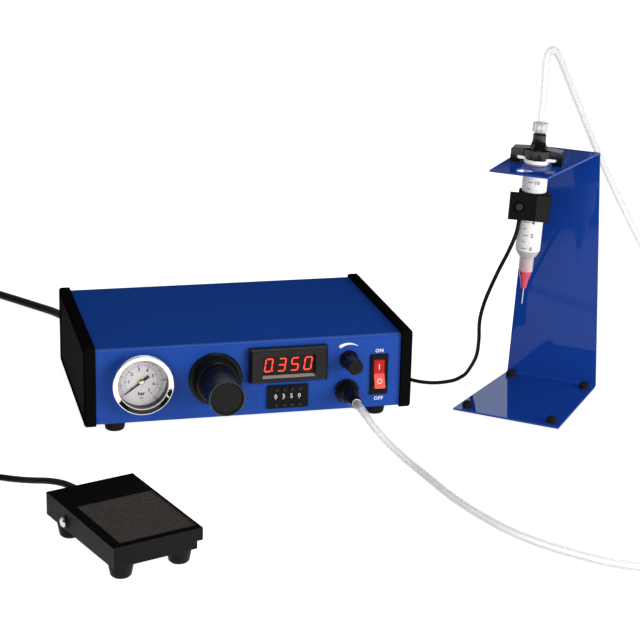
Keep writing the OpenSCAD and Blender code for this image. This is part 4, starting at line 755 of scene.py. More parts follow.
class DISPENSER_OT_stage(bpy.types.Operator):
    """Make the floor, the lamps, the white surroundings and the camera"""

    bl_idname = "dispenser.stage"
    bl_label = "Studio"

    def execute(self, context):
        scene = context.scene
        scene.view_settings.view_transform = "Standard"
        self.camera(scene)
        self.floor()
        self.world(scene)
        self.lamps()
        return {"FINISHED"}

    def camera(self, scene):
        """The photograph's camera, solved from the case's edges."""
        pitch, roll = math.radians(17.37), math.radians(1.32)
        level = Vector((0.2504, 0.9681, 0)).normalized()
        spot = (-0.3306, -1.206, 0.4825)
        focus, picture = 1825, 640
        ahead = level * math.cos(pitch) - Vector((0, 0, math.sin(pitch)))
        right = Vector((level.y, -level.x, 0))
        up = right.cross(ahead)
        across = right * math.cos(roll) + up * math.sin(roll)
        above = up * math.cos(roll) - right * math.sin(roll)
        camera = bpy.data.cameras.new("studio_camera")
        camera.sensor_width = 36
        camera.lens = camera.sensor_width * focus / picture
        camera.clip_start = 0.05
        camera.clip_end = 30
        holder = piece_of(camera, "studio_camera")
        holder.matrix_world = Matrix.Translation(spot) @ Matrix((across, above, -ahead)).transposed().to_4x4()
        scene.camera = holder

    def floor(self):
        """A pale floor that keeps the set's soft shadow and looks as white as the backdrop."""
        sink = -0.0002
        floor = mesh_of("studio_floor", [(-9, -6, sink), (9, -6, sink), (9, 14, sink), (-9, 14, sink)],
                        [(0, 1, 2, 3)])
        made = bpy.data.materials.new("studio_white")
        made.use_nodes = True
        tree = made.node_tree
        ray = add(tree, "ShaderNodeLightPath").outputs
        seen = maths(tree, "MAXIMUM", maths(tree, "MAXIMUM", ray["Is Camera Ray"], ray["Is Glossy Ray"]),
                     ray["Is Transmission Ray"])
        far = add(tree, "ShaderNodeVectorMath", {0: add(tree, "ShaderNodeTexCoord").outputs["Object"]},
                  operation="LENGTH").outputs["Value"]
        ring = add(tree, "ShaderNodeMapRange", {
            "Value": far, "From Min": 0.45, "From Max": 1.3, "To Min": 0.88, "To Max": 1.0})
        fill(tree.nodes["Principled BSDF"], {
            "Base Color": (0.86, 0.86, 0.86, 1), "Roughness": 0.9, "Specular IOR Level": 0.0,
            "Emission Color": (1, 1, 1, 1),
            "Emission Strength": maths(tree, "MULTIPLY", seen, ring.outputs["Result"])})
        floor.data.materials.append(made)

    def world(self, scene):
        """Dim light from all sides; white for the camera and glass, and for gloss a bright band at the back."""
        world = bpy.data.worlds.new("studio_world")
        scene.world = world
        world.use_nodes = True
        tree = world.node_tree
        ray = add(tree, "ShaderNodeLightPath").outputs
        sky = add(tree, "ShaderNodeSeparateXYZ", {
            0: add(tree, "ShaderNodeTexCoord").outputs["Generated"]}).outputs

        def ramp(axis, start, end, low=0.0, high=1.0):
            """Strength that changes with one direction of the sky."""
            return add(tree, "ShaderNodeMapRange", {
                "Value": sky[axis], "From Min": start, "From Max": end, "To Min": low, "To Max": high,
            }).outputs["Result"]

        back = ramp("Y", -0.25, -0.05, 0.05)
        band = maths(tree, "MULTIPLY", ramp("Z", 0.20, 0.26, 0.12), ramp("Z", 0.45, 0.75, 1.0, 0.35))
        glossy = maths(tree, "MULTIPLY", ray["Is Glossy Ray"], maths(tree, "MULTIPLY", back, band))
        seen = maths(tree, "MAXIMUM", ray["Is Camera Ray"], ray["Is Transmission Ray"])
        diffuse = maths(tree, "MULTIPLY", ray["Is Diffuse Ray"], 0.10)
        fill(tree.nodes["Background"], {
            "Color": mixed(tree, ray["Is Glossy Ray"], (1, 1, 1, 1), (0.86, 0.93, 1.0, 1)),
            "Strength": maths(tree, "ADD", maths(tree, "MAXIMUM", seen, glossy), diffuse)})

    def lamps(self):
        """Soft boxes: two low ones at the front, which gloss doesn't show, and a small one overhead."""
        aim = Vector((0, 0.03, 0.05))
        for name, spot, size, power, glossy in (
            ("key_box", (1.4, -1.5, 0.55), (1.3, 1.1), 40, False),
            ("fill_box", (-0.9, -1.9, 0.5), (1.2, 1.0), 18, False),
            ("top_box", (0.25, -0.35, 1.6), (0.9, 0.7), 6, True),
        ):
            lamp = bpy.data.lights.new(name, "AREA")
            lamp.shape = "RECTANGLE"
            lamp.size, lamp.size_y = size
            lamp.energy = power
            holder = piece_of(lamp, name)
            holder.location = spot
            holder.rotation_euler = (aim - Vector(spot)).to_track_quat("-Z", "Y").to_euler()
            holder.visible_glossy = glossy


class DISPENSER_OT_cords(bpy.types.Operator):
    """Make the clear air hose, the mains cord, the pedal's cord and the finger switch's lead"""

    bl_idname = "dispenser.cords"
    bl_label = "Hose and cords"

    def execute(self, context):
        sizes = context.scene.dispenser_sizes
        self.hose(sizes)
        self.lead(sizes)
        self.mains(sizes)
        self.pedal(sizes)
        return {"FINISHED"}

    def hose(self, sizes):
        route = metres(HOSE_ROUTE) + [SYRINGE @ Vector((0, 0, z * MM)) for z in HOSE_ON_SYRINGE]
        path = sampled(route, 6)
        hose = set_finish(tube("air_hose_tube", path, sizes.hose / 2, sizes.hose_bore / 2), "hose_clear")
        settle(hose, ROOT, "hose_clear", "air_hose")

    def lead(self, sizes):
        route = metres(LEAD_ROUTE)
        lead = set_finish(cord_curve("finger_lead_cord", route, sizes.lead), "cord_black")
        settle(lead, ROOT, "cord_black", "finger_lead")

    def mains(self, sizes):
        low, step = sizes.mains / 2 / MM + FLOOR_GAP, sizes.mains / MM
        inner, middle, outer = 31, 38, 45
        start = 72.7
        route = metres(MAINS_ROUTE)
        wound = coil(
            MAINS_COIL_AT, start,
            [(0, outer), (225, outer), (360, middle), (585, middle), (720, inner), (1080, inner), (1215, middle),
             (1440, middle), (1575, outer), (1740, outer), (1906, inner - 0.6)],
            [(0, low), (855, low), (945, low + step), (1680, low + step), (1770, low + 2 * step),
             (1810, low + 2 * step), (1920, low + 2 * step + 6.5)])
        points = route + wound[1:] + [MAINS_PLUG @ Vector((x * MM, 0, 0)) for x in (-36.5, -30)]
        cord = set_finish(cord_curve("mains_cord_run", points, sizes.mains), "cord_black")
        settle(cord, ROOT, "cord_black", "mains_cord", "mains_coil")
        for k, (turn, top) in enumerate(((195, 14.8), (280, 18.0))):
            self.tie(f"mains_tie_{k + 1}", MAINS_COIL_AT, start + turn, (26.8, 0.15), (49.2, top), 4)

    def pedal(self, sizes):
        low, step = sizes.pedal / 2 / MM + FLOOR_GAP, sizes.pedal / MM
        inner, middle, outer = 23.5, 28, 32.5
        start = 71.2
        route = [PEDAL @ Vector((0.0035, 0.092, 0.014))] + metres(PEDAL_ROUTE)
        wound = coil(
            PEDAL_COIL_AT, start,
            [(0, outer), (240, outer), (360, middle), (600, middle), (720, inner), (1120, inner), (1240, middle),
             (1480, middle), (1600, outer), (1960, outer), (2080, middle), (2280, middle), (2400, inner),
             (2510, inner), (2610, inner - 2.2)],
            [(0, low), (880, low), (960, low + step), (1760, low + step), (1840, low + 2 * step),
             (2470, low + 2 * step), (2626, low + 2 * step + 6.15)])
        points = route + wound[1:] + [PEDAL_PLUG @ Vector((x * MM, 0, 0)) for x in (-29.5, -24)]
        cord = set_finish(cord_curve("pedal_cord_run", points, sizes.pedal), "cord_black")
        settle(cord, ROOT, "cord_black", "pedal_cord", "pedal_coil")
        for k, turn in enumerate((200, 300)):
            self.tie(f"pedal_tie_{k + 1}", PEDAL_COIL_AT, start + turn, (20.6, 0.15), (35.4, 14.2), 3)

    def tie(self, name, centre, turn, low, high, wide):
        """A flat band round a coil's bundle; low and high are its inner corners as (radius, height)."""
        angle = math.radians(turn)
        out = Vector((math.cos(angle), math.sin(angle), 0)) * MM
        along = Vector((-math.sin(angle), math.cos(angle), 0)) * MM
        middle = [(a + b) / 2 for a, b in zip(low, high)]
        half = [(b - a) / 2 for a, b in zip(low, high)]
        count, squareness, thick = 40, 0.4, 0.5
        verts, faces = [], []
        for row, (grow, side) in enumerate(((0, -1), (0, 1), (thick, 1), (thick, -1))):
            for k in range(count):
                c, s = math.cos(math.tau * k / count), math.sin(math.tau * k / count)
                r = middle[0] + (half[0] + grow) * math.copysign(abs(c) ** squareness, c)
                z = middle[1] + half[1] * math.copysign(abs(s) ** squareness, s) + max(0, grow * s)
                verts.append(centre + out * r + along * side * wide / 2 + Vector((0, 0, z * MM)))
            faces += ring_faces(row * count, (row + 1) % 4 * count, count)
        settle(set_finish(mesh_of(name, verts, faces), "tie_wire"), ROOT)


class DISPENSER_OT_case(bpy.types.Operator):
    """Dress the folded case, its chassis, cheeks, feet and screws"""

    bl_idname = "dispenser.case"
    bl_label = "Case"

    def execute(self, context):
        low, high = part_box("end_cheeks")

        def sheet(face):
            """Front panel, fold or top."""
            if face.normal.y < -0.98:
                return 2
            return 1 if face.normal.y < -0.15 and face.normal.z > 0.15 else 0

        def grained(face):
            """The sunk field in a cheek's outer side, pebbled, whose light flecks are painted glints."""
            middle = face.calc_center_median()
            depth = min(middle.x - low[0], high[0] - middle.x)
            return 1 if abs(face.normal.x) > 0.9 and 0.5 * MM < depth < 2 * MM else 0

        dressed("case_cover", ("blue_sheet", "fold_sheet", "panel_sheet"), edge=0.3, segments=3, pick=sheet)
        dressed("chassis", "blue_sheet", edge=0)
        dressed("end_cheeks", ("cheek_plastic", "cheek_grain_and_glints"), edge=0.5, segments=3, pick=grained)
        dressed("controller_feet", "foot_rubber", edge=0.5, segments=3)
        self.screws()
        return {"FINISHED"}

    def screws(self):
        """Cross-head screws near the rear wall's corners."""
        low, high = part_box("chassis")
        x, _, z = middle_of("chassis")
        rear = run_tree(screw_rows, "rear_screws", {
            "Columns": 2, "Rows": 2, "Width": high[0] - low[0] - 16 * MM, "Height": 38 * MM,
            "Head": 2.6 * MM, "Depth": 1.1 * MM, "Material": finishes()["screw_zinc"],
        }, Matrix.Translation((x, REAR_Y, z)) @ turned(-90, "X"))
        settle(rear, ROOT)


class DISPENSER_OT_gauge(bpy.types.Operator):
    """Dress the pressure gauge: bezel, dial with its scales, pointer, hub and glass"""

    bl_idname = "dispenser.gauge"
    bl_label = "Gauge"

    # Angle of the scales' zero and of the pointer at rest, and the height of the dial's face
    zero = 217
    face = 2.16

    def execute(self, context):
        dressed("gauge_case", "bezel_chrome", edge=0, crease=50)
        # The dial's side walls take the black moulding: painted shade for the dark wall inside the bezel.
        dressed("gauge_dial", ("dial_white", "gloss_black"), edge=0.1,
                pick=lambda face: 1 if abs(face.normal.y) < 0.5 else 0)
        dressed("gauge_pointer", "pointer_black", edge=0.06)
        repaint("gauge_lens", "lens_clear")
        place = panel("gauge_dial")
        front = lathe("bezel_front", [
            (22.45, 11.0), (22.42, 11.8), (22.3, 12.25), (22.1, 12.46), (21.9, 12.5), (21.75, 12.45), (21.4, 12.32),
            (20.5, 11.98), (19.8, 11.72), (19.1, 11.45), (18.85, 11.34), (18.75, 11.4), (18.6, 11.4), (18.5, 11.25),
            (18.5, 10.9)], place, 96)
        settle(set_finish(front, "bezel_chrome"), BODY_OF["gauge_case"])
        self.scales(place)
        self.needle(place)
        hub = lathe("gauge_hub", [(0.01, 4.3), (0.8, 4.3), (0.9, 4.1), (1.7, 4.0), (2.15, 3.7), (2.25, 2.9),
                                  (0.01, 2.9)], place, 32)
        settle(set_finish(hub, "brass"), BODY_OF["gauge_pointer"])
        return {"FINISHED"}

    def needle(self, place):
        """The pointer's enamelled blade, a hair wider than the arbor's own."""
        outline = [(-6.6, 1.15), (-6.6, -1.15), (-1.5, -0.8), (15.0, -0.28), (15.4, 0), (15.0, 0.28), (-1.5, 0.8)]
        count = len(outline)
        verts = [(x * MM, y * MM, z * MM) for z in (2.95, 3.56) for x, y in outline]
        faces = [tuple(range(count)), tuple(range(count, 2 * count)), *ring_faces(0, count, count)]
        blade = mesh_of("pointer_blade", verts, faces, place @ turned(self.zero, "Z"), smooth=False)
        settle(set_finish(blade, "pointer_black"), BODY_OF["gauge_pointer"])

    def scales(self, place):
        """Two scales over 270 degrees, with their numbers, and a plain unit under the hub."""
        made = finishes()
        zero, sweep = math.radians(self.zero), math.radians(-270)
        parts = []
        for name, count, radius, length, width, ink in (
            ("outer_fine", 51, 15.4, 1.1, 0.22, "dial_red"), ("outer_main", 11, 15.2, 2.0, 0.42, "dial_red"),
            ("inner_fine", 36, 12.2, 1.3, 0.24, "dial_ink"), ("inner_main", 8, 11.8, 2.4, 0.5, "dial_ink"),
        ):
            marks = run_tree(arc_marks, name, {
                "Count": count, "Radius": radius * MM, "Start": zero, "Sweep": sweep, "Length": length * MM,
                "Width": width * MM, "Thickness": 0.05 * MM, "Material": made[ink],
            }, place @ at(0, 0, self.face))
            parts.append(set_finish(marks, ink))
        for values, radius, height, ink in (
            (range(0, 101, 20), 17.25, 1.5, "dial_red"), (range(0, 8), 9.2, 2.5, "dial_ink"),
        ):
            for k, value in enumerate(values):
                angle = zero + sweep * k / (len(values) - 1)
                spot = place @ at(radius * math.cos(angle), radius * math.sin(angle), self.face)
                number = lettering(f"number_{radius:.0f}_{value}", str(value), height, spot, weight=0.03)
                parts.append(set_finish(number, ink))
        for name, text, height, drop, weight, ink in (
            ("unit_inner", "bar", 2.9, -9.2, 0.03, "dial_ink"), ("unit_outer", "psi", 1.9, -12.8, 0.02, "dial_red"),
        ):
            unit = lettering(name, text, height, place @ at(0, drop, self.face), weight=weight)
            parts.append(set_finish(unit, ink))
        settle(joined("dial_scales", parts), ROOT)


class DISPENSER_OT_controls(bpy.types.Operator):
    """Dress the regulator, the vacuum knob, the air outlet and the panel print"""

    bl_idname = "dispenser.controls"
    bl_label = "Knobs and outlet"

    def execute(self, context):
        dressed("regulator_body", "gloss_black", edge=0.3)
        dressed("regulator_spindle", "steel", edge=0.2)
        dressed("regulator_knob", "gloss_black", edge=0.25, crease=30)
        rim = lathe("knob_rim", [(12.3, 44.9), (12.6, 45.1), (12.95, 45.1), (13.25, 44.85), (13.3, 44.5),
                                 (12.3, 44.5)], panel("regulator_spindle"), 64)
        settle(set_finish(rim, "rim_gloss"), BODY_OF["regulator_knob"])
        dressed("vacuum_valve", "satin_black", edge=0.15)
        dressed("vacuum_knob", "gloss_black", edge=0.2)
        dressed("outlet_socket", "gloss_black", edge=0.2)
        dressed("outlet_connector", "gloss_black", edge=0.15)
        cuff = lathe("hose_cuff", [(3.02, 29.6), (3.4, 29.6), (3.5, 30.0), (3.4, 30.3), (3.15, 30.4), (3.02, 30.3),
                                   (3.02, 29.6)], panel("outlet_connector"), 40)
        settle(set_finish(cuff, "label_paper"), BODY_OF["outlet_connector"])
        self.print_on_panel(context.scene.dispenser_sizes.letters / MM)
        return {"FINISHED"}

    def print_on_panel(self, tall):
        """White print: ON and OFF at the rocker and the rising sweep over the vacuum knob."""
        face, thick = -0.005, 0.03
        switch = panel("rocker_frame")
        parts = [lettering(name, text, tall, switch @ at(x, y, face), 0.10, thick, 0.022) for name, text, x, y in (
            ("word_on", "ON", 0, 18.5), ("word_off", "OFF", 0.4, -19.3))]
        steps, radius, first, reach = 28, 12.3, 126, 70
        verts, faces = [], []
        for i in range(steps + 1):
            t = i / steps
            angle = math.radians(first - reach * t)
            half = (1.25 * (1 - t) ** 0.8 + 0.05) * MM
            out = Vector((math.cos(angle), math.sin(angle), 0))
            for z in (face * MM, (face + thick) * MM):
                verts += [(*(out * (radius * MM + side * half)).xy, z) for side in (1, -1)]
        for a in range(0, 4 * steps, 4):
            faces += [(a + i, a + j, a + 4 + j, a + 4 + i) for i, j in ((2, 3), (1, 0), (0, 2), (3, 1))]
        faces += [(0, 1, 3, 2), (4 * steps, 4 * steps + 2, 4 * steps + 3, 4 * steps + 1)]
        parts.append(mesh_of("vacuum_sweep", verts, faces, panel("vacuum_valve"), smooth=False))
        for part in parts:
            set_finish(part, "print_white")
        settle(joined("panel_print", parts), ROOT)


# Lit bars of each digit, from a at the top clockwise to f, with g across the middle
SEGMENTS = {"0": "abcdef", "1": "bc", "2": "abdeg", "3": "abcdg", "4": "bcfg", "5": "acdfg", "6": "acdefg",
            "7": "abc", "8": "abcdefg", "9": "abcdfg"}


class DISPENSER_OT_display(bpy.types.Operator):
    """Dress the time display and light its digits"""

    bl_idname = "dispenser.display"
    bl_label = "Time display"

    def execute(self, context):
        low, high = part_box("display_bezel")

        def ledge(face):
            """The lower slope of the window, which takes a painted highlight."""
            middle = face.calc_center_median()
            inside = low[0] + 6 * MM < middle.x < high[0] - 6 * MM and low[2] + 2 * MM < middle.z < low[2] + 12 * MM
            return 1 if inside and 0.6 < face.normal.z < 0.9 and middle.y > low[1] + 0.5 * MM else 0

        dressed("display_bezel", ("bezel_black", "ledge_highlight"), edge=0.35, segments=3, pick=ledge)
        dressed("display_module", "display_red", edge=0.1)
        self.digits(context.scene.dispenser_sizes)
        return {"FINISHED"}

    def digits(self, sizes):
        """Seven-segment digits, slanted, with their point."""
        tall = sizes.digit
        wide, thick, pitch, slant = 0.54 * tall, 0.105 * tall, 1.045 * tall, 0.14
        back, front = 3.92 * MM, 4.0 * MM
        verts, faces = [], []

        def bar(start, end):
            """A lit bar with pointed ends."""
            a, b = Vector(start), Vector(end)
            along = (b - a).normalized()
            across = Vector((-along.y, along.x)) * thick / 2
            inset = along * thick * 0.55
            a, b = a + along * thick * 0.12, b - along * thick * 0.12
            outline = [a, a + inset + across, b - inset + across, b, b - inset - across, a + inset - across]
            base = len(verts)
            for z in (back, front):
                verts.extend((p.x + slant * p.y, p.y, z) for p in outline)
            faces.append(tuple(base + 6 + k for k in range(6)))
            faces.append(tuple(base + 5 - k for k in range(6)))
            faces.extend(ring_faces(base, base + 6, 6))

        shown = sizes.shown.replace(".", "")
        half = tall / 2
        left = -pitch * (len(shown) - 1) / 2
        for k, digit in enumerate(shown):
            x = left + k * pitch
            a, b = x - wide / 2, x + wide / 2
            ends = {"a": ((a, half), (b, half)), "b": ((b, half), (b, 0)), "c": ((b, 0), (b, -half)),
                    "d": ((b, -half), (a, -half)), "e": ((a, -half), (a, 0)), "f": ((a, 0), (a, half)),
                    "g": ((a, 0), (b, 0))}
            for name in SEGMENTS[digit]:
                bar(*ends[name])
        point = sizes.shown.find(".") - 1
        if point >= 0:
            x = left + point * pitch + wide / 2 + thick * 0.95
            bar((x, -half - thick * 0.35), (x, -half + thick * 0.9))
        lit = mesh_of("lit_digits", verts, faces, panel("display_bezel"), smooth=False)
        settle(set_finish(lit, "digit_glow"), ROOT, "display_red")


class DISPENSER_OT_wheels(bpy.types.Operator):
    """Dress the pushwheel switch: frame, buttons and four wheels with their digits"""

    bl_idname = "dispenser.wheels"
    bl_label = "Pushwheel"

    def execute(self, context):
        dressed("pushwheel_frame", "satin_black", edge=0.12)
        shown = context.scene.dispenser_sizes.set_time
        for k in range(4):
            for kind in ("plus", "minus"):
                dressed(f"{kind}_button_{k + 1}", "button_grey", edge=0.2, segments=3)
            wheel = f"digit_wheel_{k + 1}"
            dressed(wheel, "satin_black", edge=0.1)
            self.numbers(wheel, int(shown[k]))
        return {"FINISHED"}

    def numbers(self, wheel, shown):
        """The digits 0 to 9 round a wheel, bent to its rim, with the shown one in the window."""
        low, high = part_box(wheel)
        radius = (high[1] - low[1]) / 2
        middle = Vector(middle_of(wheel))
        sink, narrowing = 0.01 * MM, 0.95
        parts = []
        for value in range(10):
            flat = lettering(f"{wheel}_{value}", str(value), 3.6, Matrix.Identity(4), thick=0.05, weight=0.03)
            shape = bmesh.new()
            shape.from_mesh(flat.data)
            for step in range(-4, 5):
                bmesh.ops.bisect_plane(shape, geom=[*shape.verts, *shape.edges, *shape.faces],
                                       plane_co=(0, step * 0.4 * MM, 0), plane_no=(0, 1, 0))
            base = math.radians(36 * (value - shown))
            for v in shape.verts:
                angle = base + v.co.y / radius
                out = radius + v.co.z - sink
                v.co = middle + Vector((v.co.x * narrowing, -out * math.cos(angle), out * math.sin(angle)))
            shape.to_mesh(flat.data)
            shape.free()
            parts.append(set_finish(flat, "wheel_white"))
        settle(joined(wheel + "_numbers", parts), BODY_OF[wheel])


class DISPENSER_OT_rocker(bpy.types.Operator):
    """Dress the lit rocker switch and its marks"""

    bl_idname = "dispenser.rocker"
    bl_label = "Rocker switch"

    def execute(self, context):
        dressed("rocker_frame", "satin_black", edge=0.3, segments=3)
        tilt = panel("rocker_frame") @ at(0, 0, -1.5) @ turned(-10, "X")
        back = tilt.inverted()
        # Faces below the rocker's middle take the lighter red: painted highlight on the half that catches the light.
        dressed("rocker", ("rocker_red", "rocker_painted_highlight"), edge=0.4, segments=3, crease=20,
                pick=lambda face: 1 if (back @ face.calc_center_median()).y < -0.2 * MM else 0)
        slope, thick, spot = math.degrees(math.atan2(2.5, 12.8)), 0.06, 5.6
        middle = tilt @ at(0, 0, 2.8)
        wide, high = 0.7, 4.4
        verts = [(x * wide / 2 * MM, y * high / 2 * MM, z * MM) for z in (0, thick) for y in (-1, 1) for x in (-1, 1)]
        faces = [(0, 2, 3, 1), (4, 5, 7, 6), (0, 1, 5, 4), (1, 3, 7, 5), (3, 2, 6, 7), (2, 0, 4, 6)]
        bar = mesh_of("rocker_on", verts, faces, middle @ turned(slope, "X") @ at(0, spot, 0), smooth=False)
        ring = lathe("rocker_off", [(1.35, 0), (2.05, 0), (2.05, thick), (1.35, thick), (1.35, 0)],
                     middle @ turned(-slope, "X") @ at(0, -spot, 0), 32)
        marks = joined("rocker_marks", [set_finish(bar, "rocker_mark"), set_finish(ring, "rocker_mark")])
        settle(marks, BODY_OF["rocker"])
        return {"FINISHED"}


class DISPENSER_OT_inside(bpy.types.Operator):
    """Dress what is inside the case and on its rear"""

    bl_idname = "dispenser.inside"
    bl_label = "Inside and rear"

    def execute(self, context):
        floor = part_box("timer_board")[0][2]
        pillars, deck, coils = (floor + high * MM for high in (7.9, 9.7, 16.2))
        silencer, coil_end = REAR_Y + 3.2 * MM, REAR_Y - 50 * MM

        def board(face):
            """Steel pillars, then the board, then what stands on it."""
            z = face.calc_center_median().z
            return 2 if z < pillars else 0 if z < deck else 1

        def block(face):
            """The silencer behind the wall, the coils on top and the block itself."""
            middle = face.calc_center_median()
            if middle.y > silencer:
                return 2
            return 1 if middle.z > coils and middle.y < coil_end else 0

        dressed("timer_board", ("board_green", "satin_black", "steel"), edge=0.15, pick=board)
        dressed("valve_block", ("valve_aluminium", "satin_black", "sintered_brass"), edge=0.2, pick=block)
        for node, name, edge in (("air_inlet", "satin_black", 0.2), ("signal_sockets", "steel", 0.15),
                                 ("mains_gland", "foot_rubber", 0.2), ("lead_plug", "cord_black", 0.15)):
            dressed(node, name, edge=edge)
        for node, place, edge, pins, end in (("mains_plug", MAINS_PLUG, 0.2, 10.2, -36.6),
                                             ("pedal_plug", PEDAL_PLUG, 0.15, 4.2, -29.9)):
            back = place.inverted()
            dressed(node, ("cord_black", "steel"), edge=edge,
                    pick=lambda face: 1 if (back @ face.calc_center_median()).x > pins * MM else 0,
                    trim=(place @ Vector((end * MM, 0, 0)), place.to_3x3() @ Vector((-1, 0, 0))))
        return {"FINISHED"}


class DISPENSER_OT_stand(bpy.types.Operator):
    """Dress the folded stand and its feet"""

    bl_idname = "dispenser.stand"
    bl_label = "Stand"

    def execute(self, context):
        dressed("stand_bracket", ("stand_sheet", "stand_plate"), edge=0.3, segments=3, crease=25,
                pick=lambda face: 1 if face.normal.z > 0.9 and face.calc_center_median().z < 20 * MM else 0)
        dressed("stand_feet", "foot_rubber", edge=0.3, segments=3)
        return {"FINISHED"}


class DISPENSER_OT_syringe(bpy.types.Operator):
    """Dress the syringe: barrel, label, paste, piston, adapter, nut and needle"""

    bl_idname = "dispenser.syringe"
    bl_label = "Syringe"

    def execute(self, context):
        back = SYRINGE.inverted()
        ring_bottom, collar_top, hub_end = -1.6, -74.2, -98.2

        def height(face):
            """How far a face is above the barrel's flange, in millimetres."""
            return (back @ face.calc_center_median()).z / MM

        # Faces above the flange take the white ring finish, whose glow is painted light.
        dressed("syringe_barrel", ("barrel_clear", "collar_clear", "ring_white_painted_glow"), edge=0.15,
                pick=lambda face: 1 if height(face) < collar_top else 2 if height(face) > ring_bottom else 0)
        dressed("piston", "piston_white", edge=0.15)
        dressed("adapter_head", "adapter_gloss", edge=0.4, segments=3)
        dressed("luer_nut", "nut_clear", edge=0.15)
        dressed("needle", ("needle_pink", "steel"), edge=0.1, pick=lambda face: 1 if height(face) < hub_end else 0)
        self.sleeve("barrel_label", [(9.22, -1.8), (9.32, -1.9), (9.32, -67.0), (9.22, -67.1)], "label_paper")
        self.sleeve("barrel_ring", [(9.25, 0.1), (9.7, 0.3), (9.75, 2.5), (9.5, 2.9), (9.25, 2.9)], "ring_white_painted_glow")
        self.graduation()
        self.paste()
        thread = [(3.9 if k % 2 else 3.3, -83.8 + 0.9 * k) for k in range(9)]
        self.sleeve("needle_thread", [(2.1, -83.9), *thread, (2.1, -76.2), (2.1, -83.9)], "needle_pink", "needle", 40)
        return {"FINISHED"}

    def sleeve(self, name, profile, made, node="syringe_barrel", sides=64):
        """A turned piece round the syringe's axis that rides with a solid."""
        settle(set_finish(lathe(name, profile, SYRINGE, sides), made), BODY_OF[node])

    def graduation(self):
        """Plain ticks at each millilitre of the bore, with every second one numbered."""
        radius, pitch, zero, count = 9.36, 5.1, -64.5, 12
        first, number_angle = -104, -58
        verts, faces = [], []
        for value in range(count):
            reach = 17 if value % 2 else 30
            for k in range(7):
                angle = math.radians(first + reach * k / 6)
                for z in (zero + pitch * value - 0.25, zero + pitch * value + 0.25):
                    for r in (radius - 0.08, radius):
                        verts.append((r * math.cos(angle) * MM, r * math.sin(angle) * MM, z * MM))
            for a in range(len(verts) - 28, len(verts) - 4, 4):
                faces += [(a + i, a + j, a + 4 + j, a + 4 + i) for i, j in ((3, 1), (1, 0), (2, 3))]
        parts = [mesh_of("ticks", verts, faces, SYRINGE, smooth=False)]
        for value in range(0, count, 2):
            flat = lettering(f"grade_{value}", str(value), 3.0, Matrix.Identity(4), weight=0.02)
            for v in flat.data.vertices:
                angle = math.radians(number_angle) + v.co.x / (radius * MM)
                r = (radius + 0.06) * MM + v.co.z
                height = v.co.y + (zero + pitch * value) * MM
                v.co = SYRINGE @ Vector((r * math.cos(angle), r * math.sin(angle), height))
            parts.append(flat)
        for part in parts:
            set_finish(part, "label_ink")
        settle(joined("label_grades", parts), ROOT)

    def paste(self):
        """Grey paste under the piston, down to the needle's hub."""
        inside = lathe("barrel_paste", [
            (0.01, -30.4), (7.6, -30.4), (7.78, -31), (7.78, -66.8), (6.6, -70), (3.4, -72.5), (1.8, -73.4),
            (1.6, -83), (0.01, -83)], SYRINGE, 40)
        settle(set_finish(inside, "barrel_paste"), ROOT)
        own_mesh(inside)


class DISPENSER_OT_finger_switch(bpy.types.Operator):
    """Dress the finger switch: its strap with the loop tape, and its button"""

    bl_idname = "dispenser.finger_switch"
    bl_label = "Finger switch"

    def execute(self, context):
        dressed("finger_strap", "strap_webbing", edge=0.5, segments=3)
        dressed("finger_button", "button_grey", edge=0.4, segments=3)
        loops = run_tree(loop_field, "strap_loops", {
            "Width": 10 * MM, "Height": 19 * MM, "Columns": 21, "Rows": 40, "Size": 0.24 * MM, "Seed": 7,
            "Material": finishes()["strap_loops"],
        }, STRAP @ at(7.7, BLOCK_FACE, BLOCK_MIDDLE) @ turned(90, "X"))
        settle(set_finish(loops, "strap_loops"), ROOT)
        self.weave()
        low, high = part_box("finger_button")
        half = (high[2] - low[2]) / 2 / MM
        # A flat black ring round the button: painted shade for the gap between button and strap.
        shade_ring = lathe("button_groove", [(half + 0.1, 0), (half + 1.1, 0), (half + 1.0, 0.25), (half + 0.2, 0.25),
                                         (half + 0.1, 0)],
                       STRAP @ at(-9.8, BLOCK_FACE, BLOCK_MIDDLE) @ turned(90, "X"), 32)
        settle(set_finish(shade_ring, "painted_gap_shade"), ROOT)
        return {"FINISHED"}

    def weave(self):
        """Slanting rows of stitches over the loop tape."""
        left, right, low, high = 2.7, 12.7, -40.3, -21.2
        pitch, half, front, shortest = 1.7, 0.26, BLOCK_FACE - 0.35, 0.4
        verts, faces = [], []
        start = low - (right - left)
        while start < high:
            a = max(left, left + low - start)
            b = min(right, left + high - start)
            if b - a > shortest:
                base = len(verts)
                verts += [(x * MM, y * MM, (start + x - left + side) * MM)
                          for y in (BLOCK_FACE, front) for x in (a, b) for side in (-half, half)]
                faces += [tuple(base + k for k in corners) for corners in (
                    (4, 5, 7, 6), (0, 1, 5, 4), (2, 3, 7, 6), (0, 2, 6, 4), (1, 3, 7, 5))]
            start += pitch
        settle(set_finish(mesh_of("strap_weave", verts, faces, STRAP, smooth=False), "strap_rib"), ROOT)


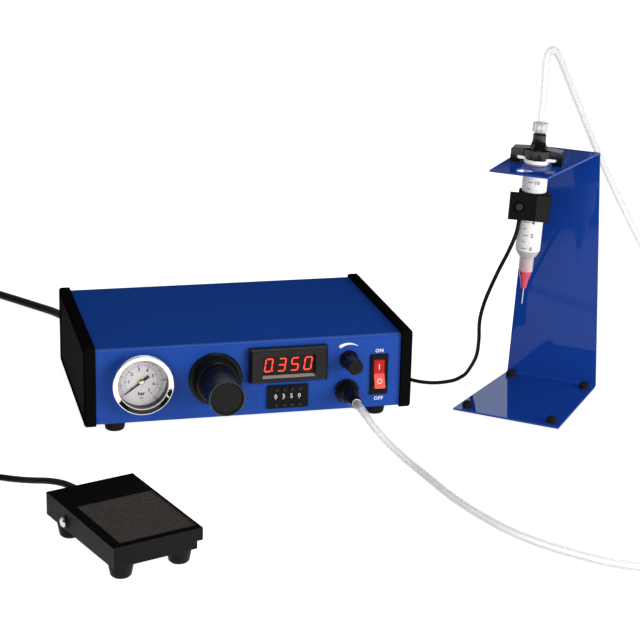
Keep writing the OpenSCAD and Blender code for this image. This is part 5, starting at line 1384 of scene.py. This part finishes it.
class DISPENSER_OT_pedal(bpy.types.Operator):
    """Dress the foot pedal: treadle, tread, base, hinge screws, spring and switch"""

    bl_idname = "dispenser.pedal"
    bl_label = "Foot pedal"

    def execute(self, context):
        back = PEDAL.inverted()
        left, right, near, far, over = -24.3, 29.5, 4.6, 62.1, 20

        def tread(face):
            """The ribbed field, the frame round it, which takes a darker copy of the skin as painted shade, and the
            sides.
            """
            corners = [back @ v.co / MM for v in face.verts]
            field = all(left < c.x < right and near < c.y < far and c.z > over for c in corners)
            if field and face.normal.z > -0.1:
                return 1
            return 2 if face.normal.z > 0.9 and corners[0].z > over else 0

        # The rounded edges take finish 3, a light grey that is a painted highlight.
        dressed("pedal_treadle", ("pedal_skin", "pedal_tread", "pedal_top_painted_shade", "pedal_edge_highlight"), edge=0.7, segments=3,
                pick=tread, rim=3, merge=False)
        dressed("pedal_base", "pedal_skin", edge=0.3)
        dressed("pedal_pins", "steel", edge=0.2)
        spring = dressed("pedal_spring", "steel", edge=0)
        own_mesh(spring)
        dressed("pedal_switch", "satin_black", edge=0.2)
        return {"FINISHED"}


class DISPENSER_PT_set(bpy.types.Panel):
    """Lists the set's settings and the buttons that make its pieces"""

    bl_idname = "DISPENSER_PT_set"
    bl_label = "Fluid dispenser"
    bl_space_type = "VIEW_3D"
    bl_region_type = "UI"
    bl_category = "Dispenser"

    def draw(self, context):
        layout = self.layout
        for group in (context.scene.dispenser_sizes, context.scene.dispenser_colours):
            box = layout.box()
            for name in group.__annotations__:
                box.prop(group, name)
        for operator in OPERATORS:
            layout.operator(operator.bl_idname)


OPERATORS = (
    DISPENSER_OT_stage, DISPENSER_OT_case, DISPENSER_OT_gauge, DISPENSER_OT_controls, DISPENSER_OT_display,
    DISPENSER_OT_wheels, DISPENSER_OT_rocker, DISPENSER_OT_inside, DISPENSER_OT_stand, DISPENSER_OT_syringe,
    DISPENSER_OT_finger_switch, DISPENSER_OT_pedal, DISPENSER_OT_cords,
)
CLASSES = (DispenserSizes, DispenserColours, *OPERATORS, DISPENSER_PT_set)


def register():
    for one in CLASSES:
        bpy.utils.register_class(one)
    bpy.types.Scene.dispenser_sizes = bpy.props.PointerProperty(type=DispenserSizes)
    bpy.types.Scene.dispenser_colours = bpy.props.PointerProperty(type=DispenserColours)


def unregister():
    del bpy.types.Scene.dispenser_colours
    del bpy.types.Scene.dispenser_sizes
    for one in reversed(CLASSES):
        bpy.utils.unregister_class(one)


def main():
    register()
    for operator in OPERATORS:
        group, name = operator.bl_idname.split(".")
        getattr(getattr(bpy.ops, group), name)()


if __name__ == "__main__":
    main()
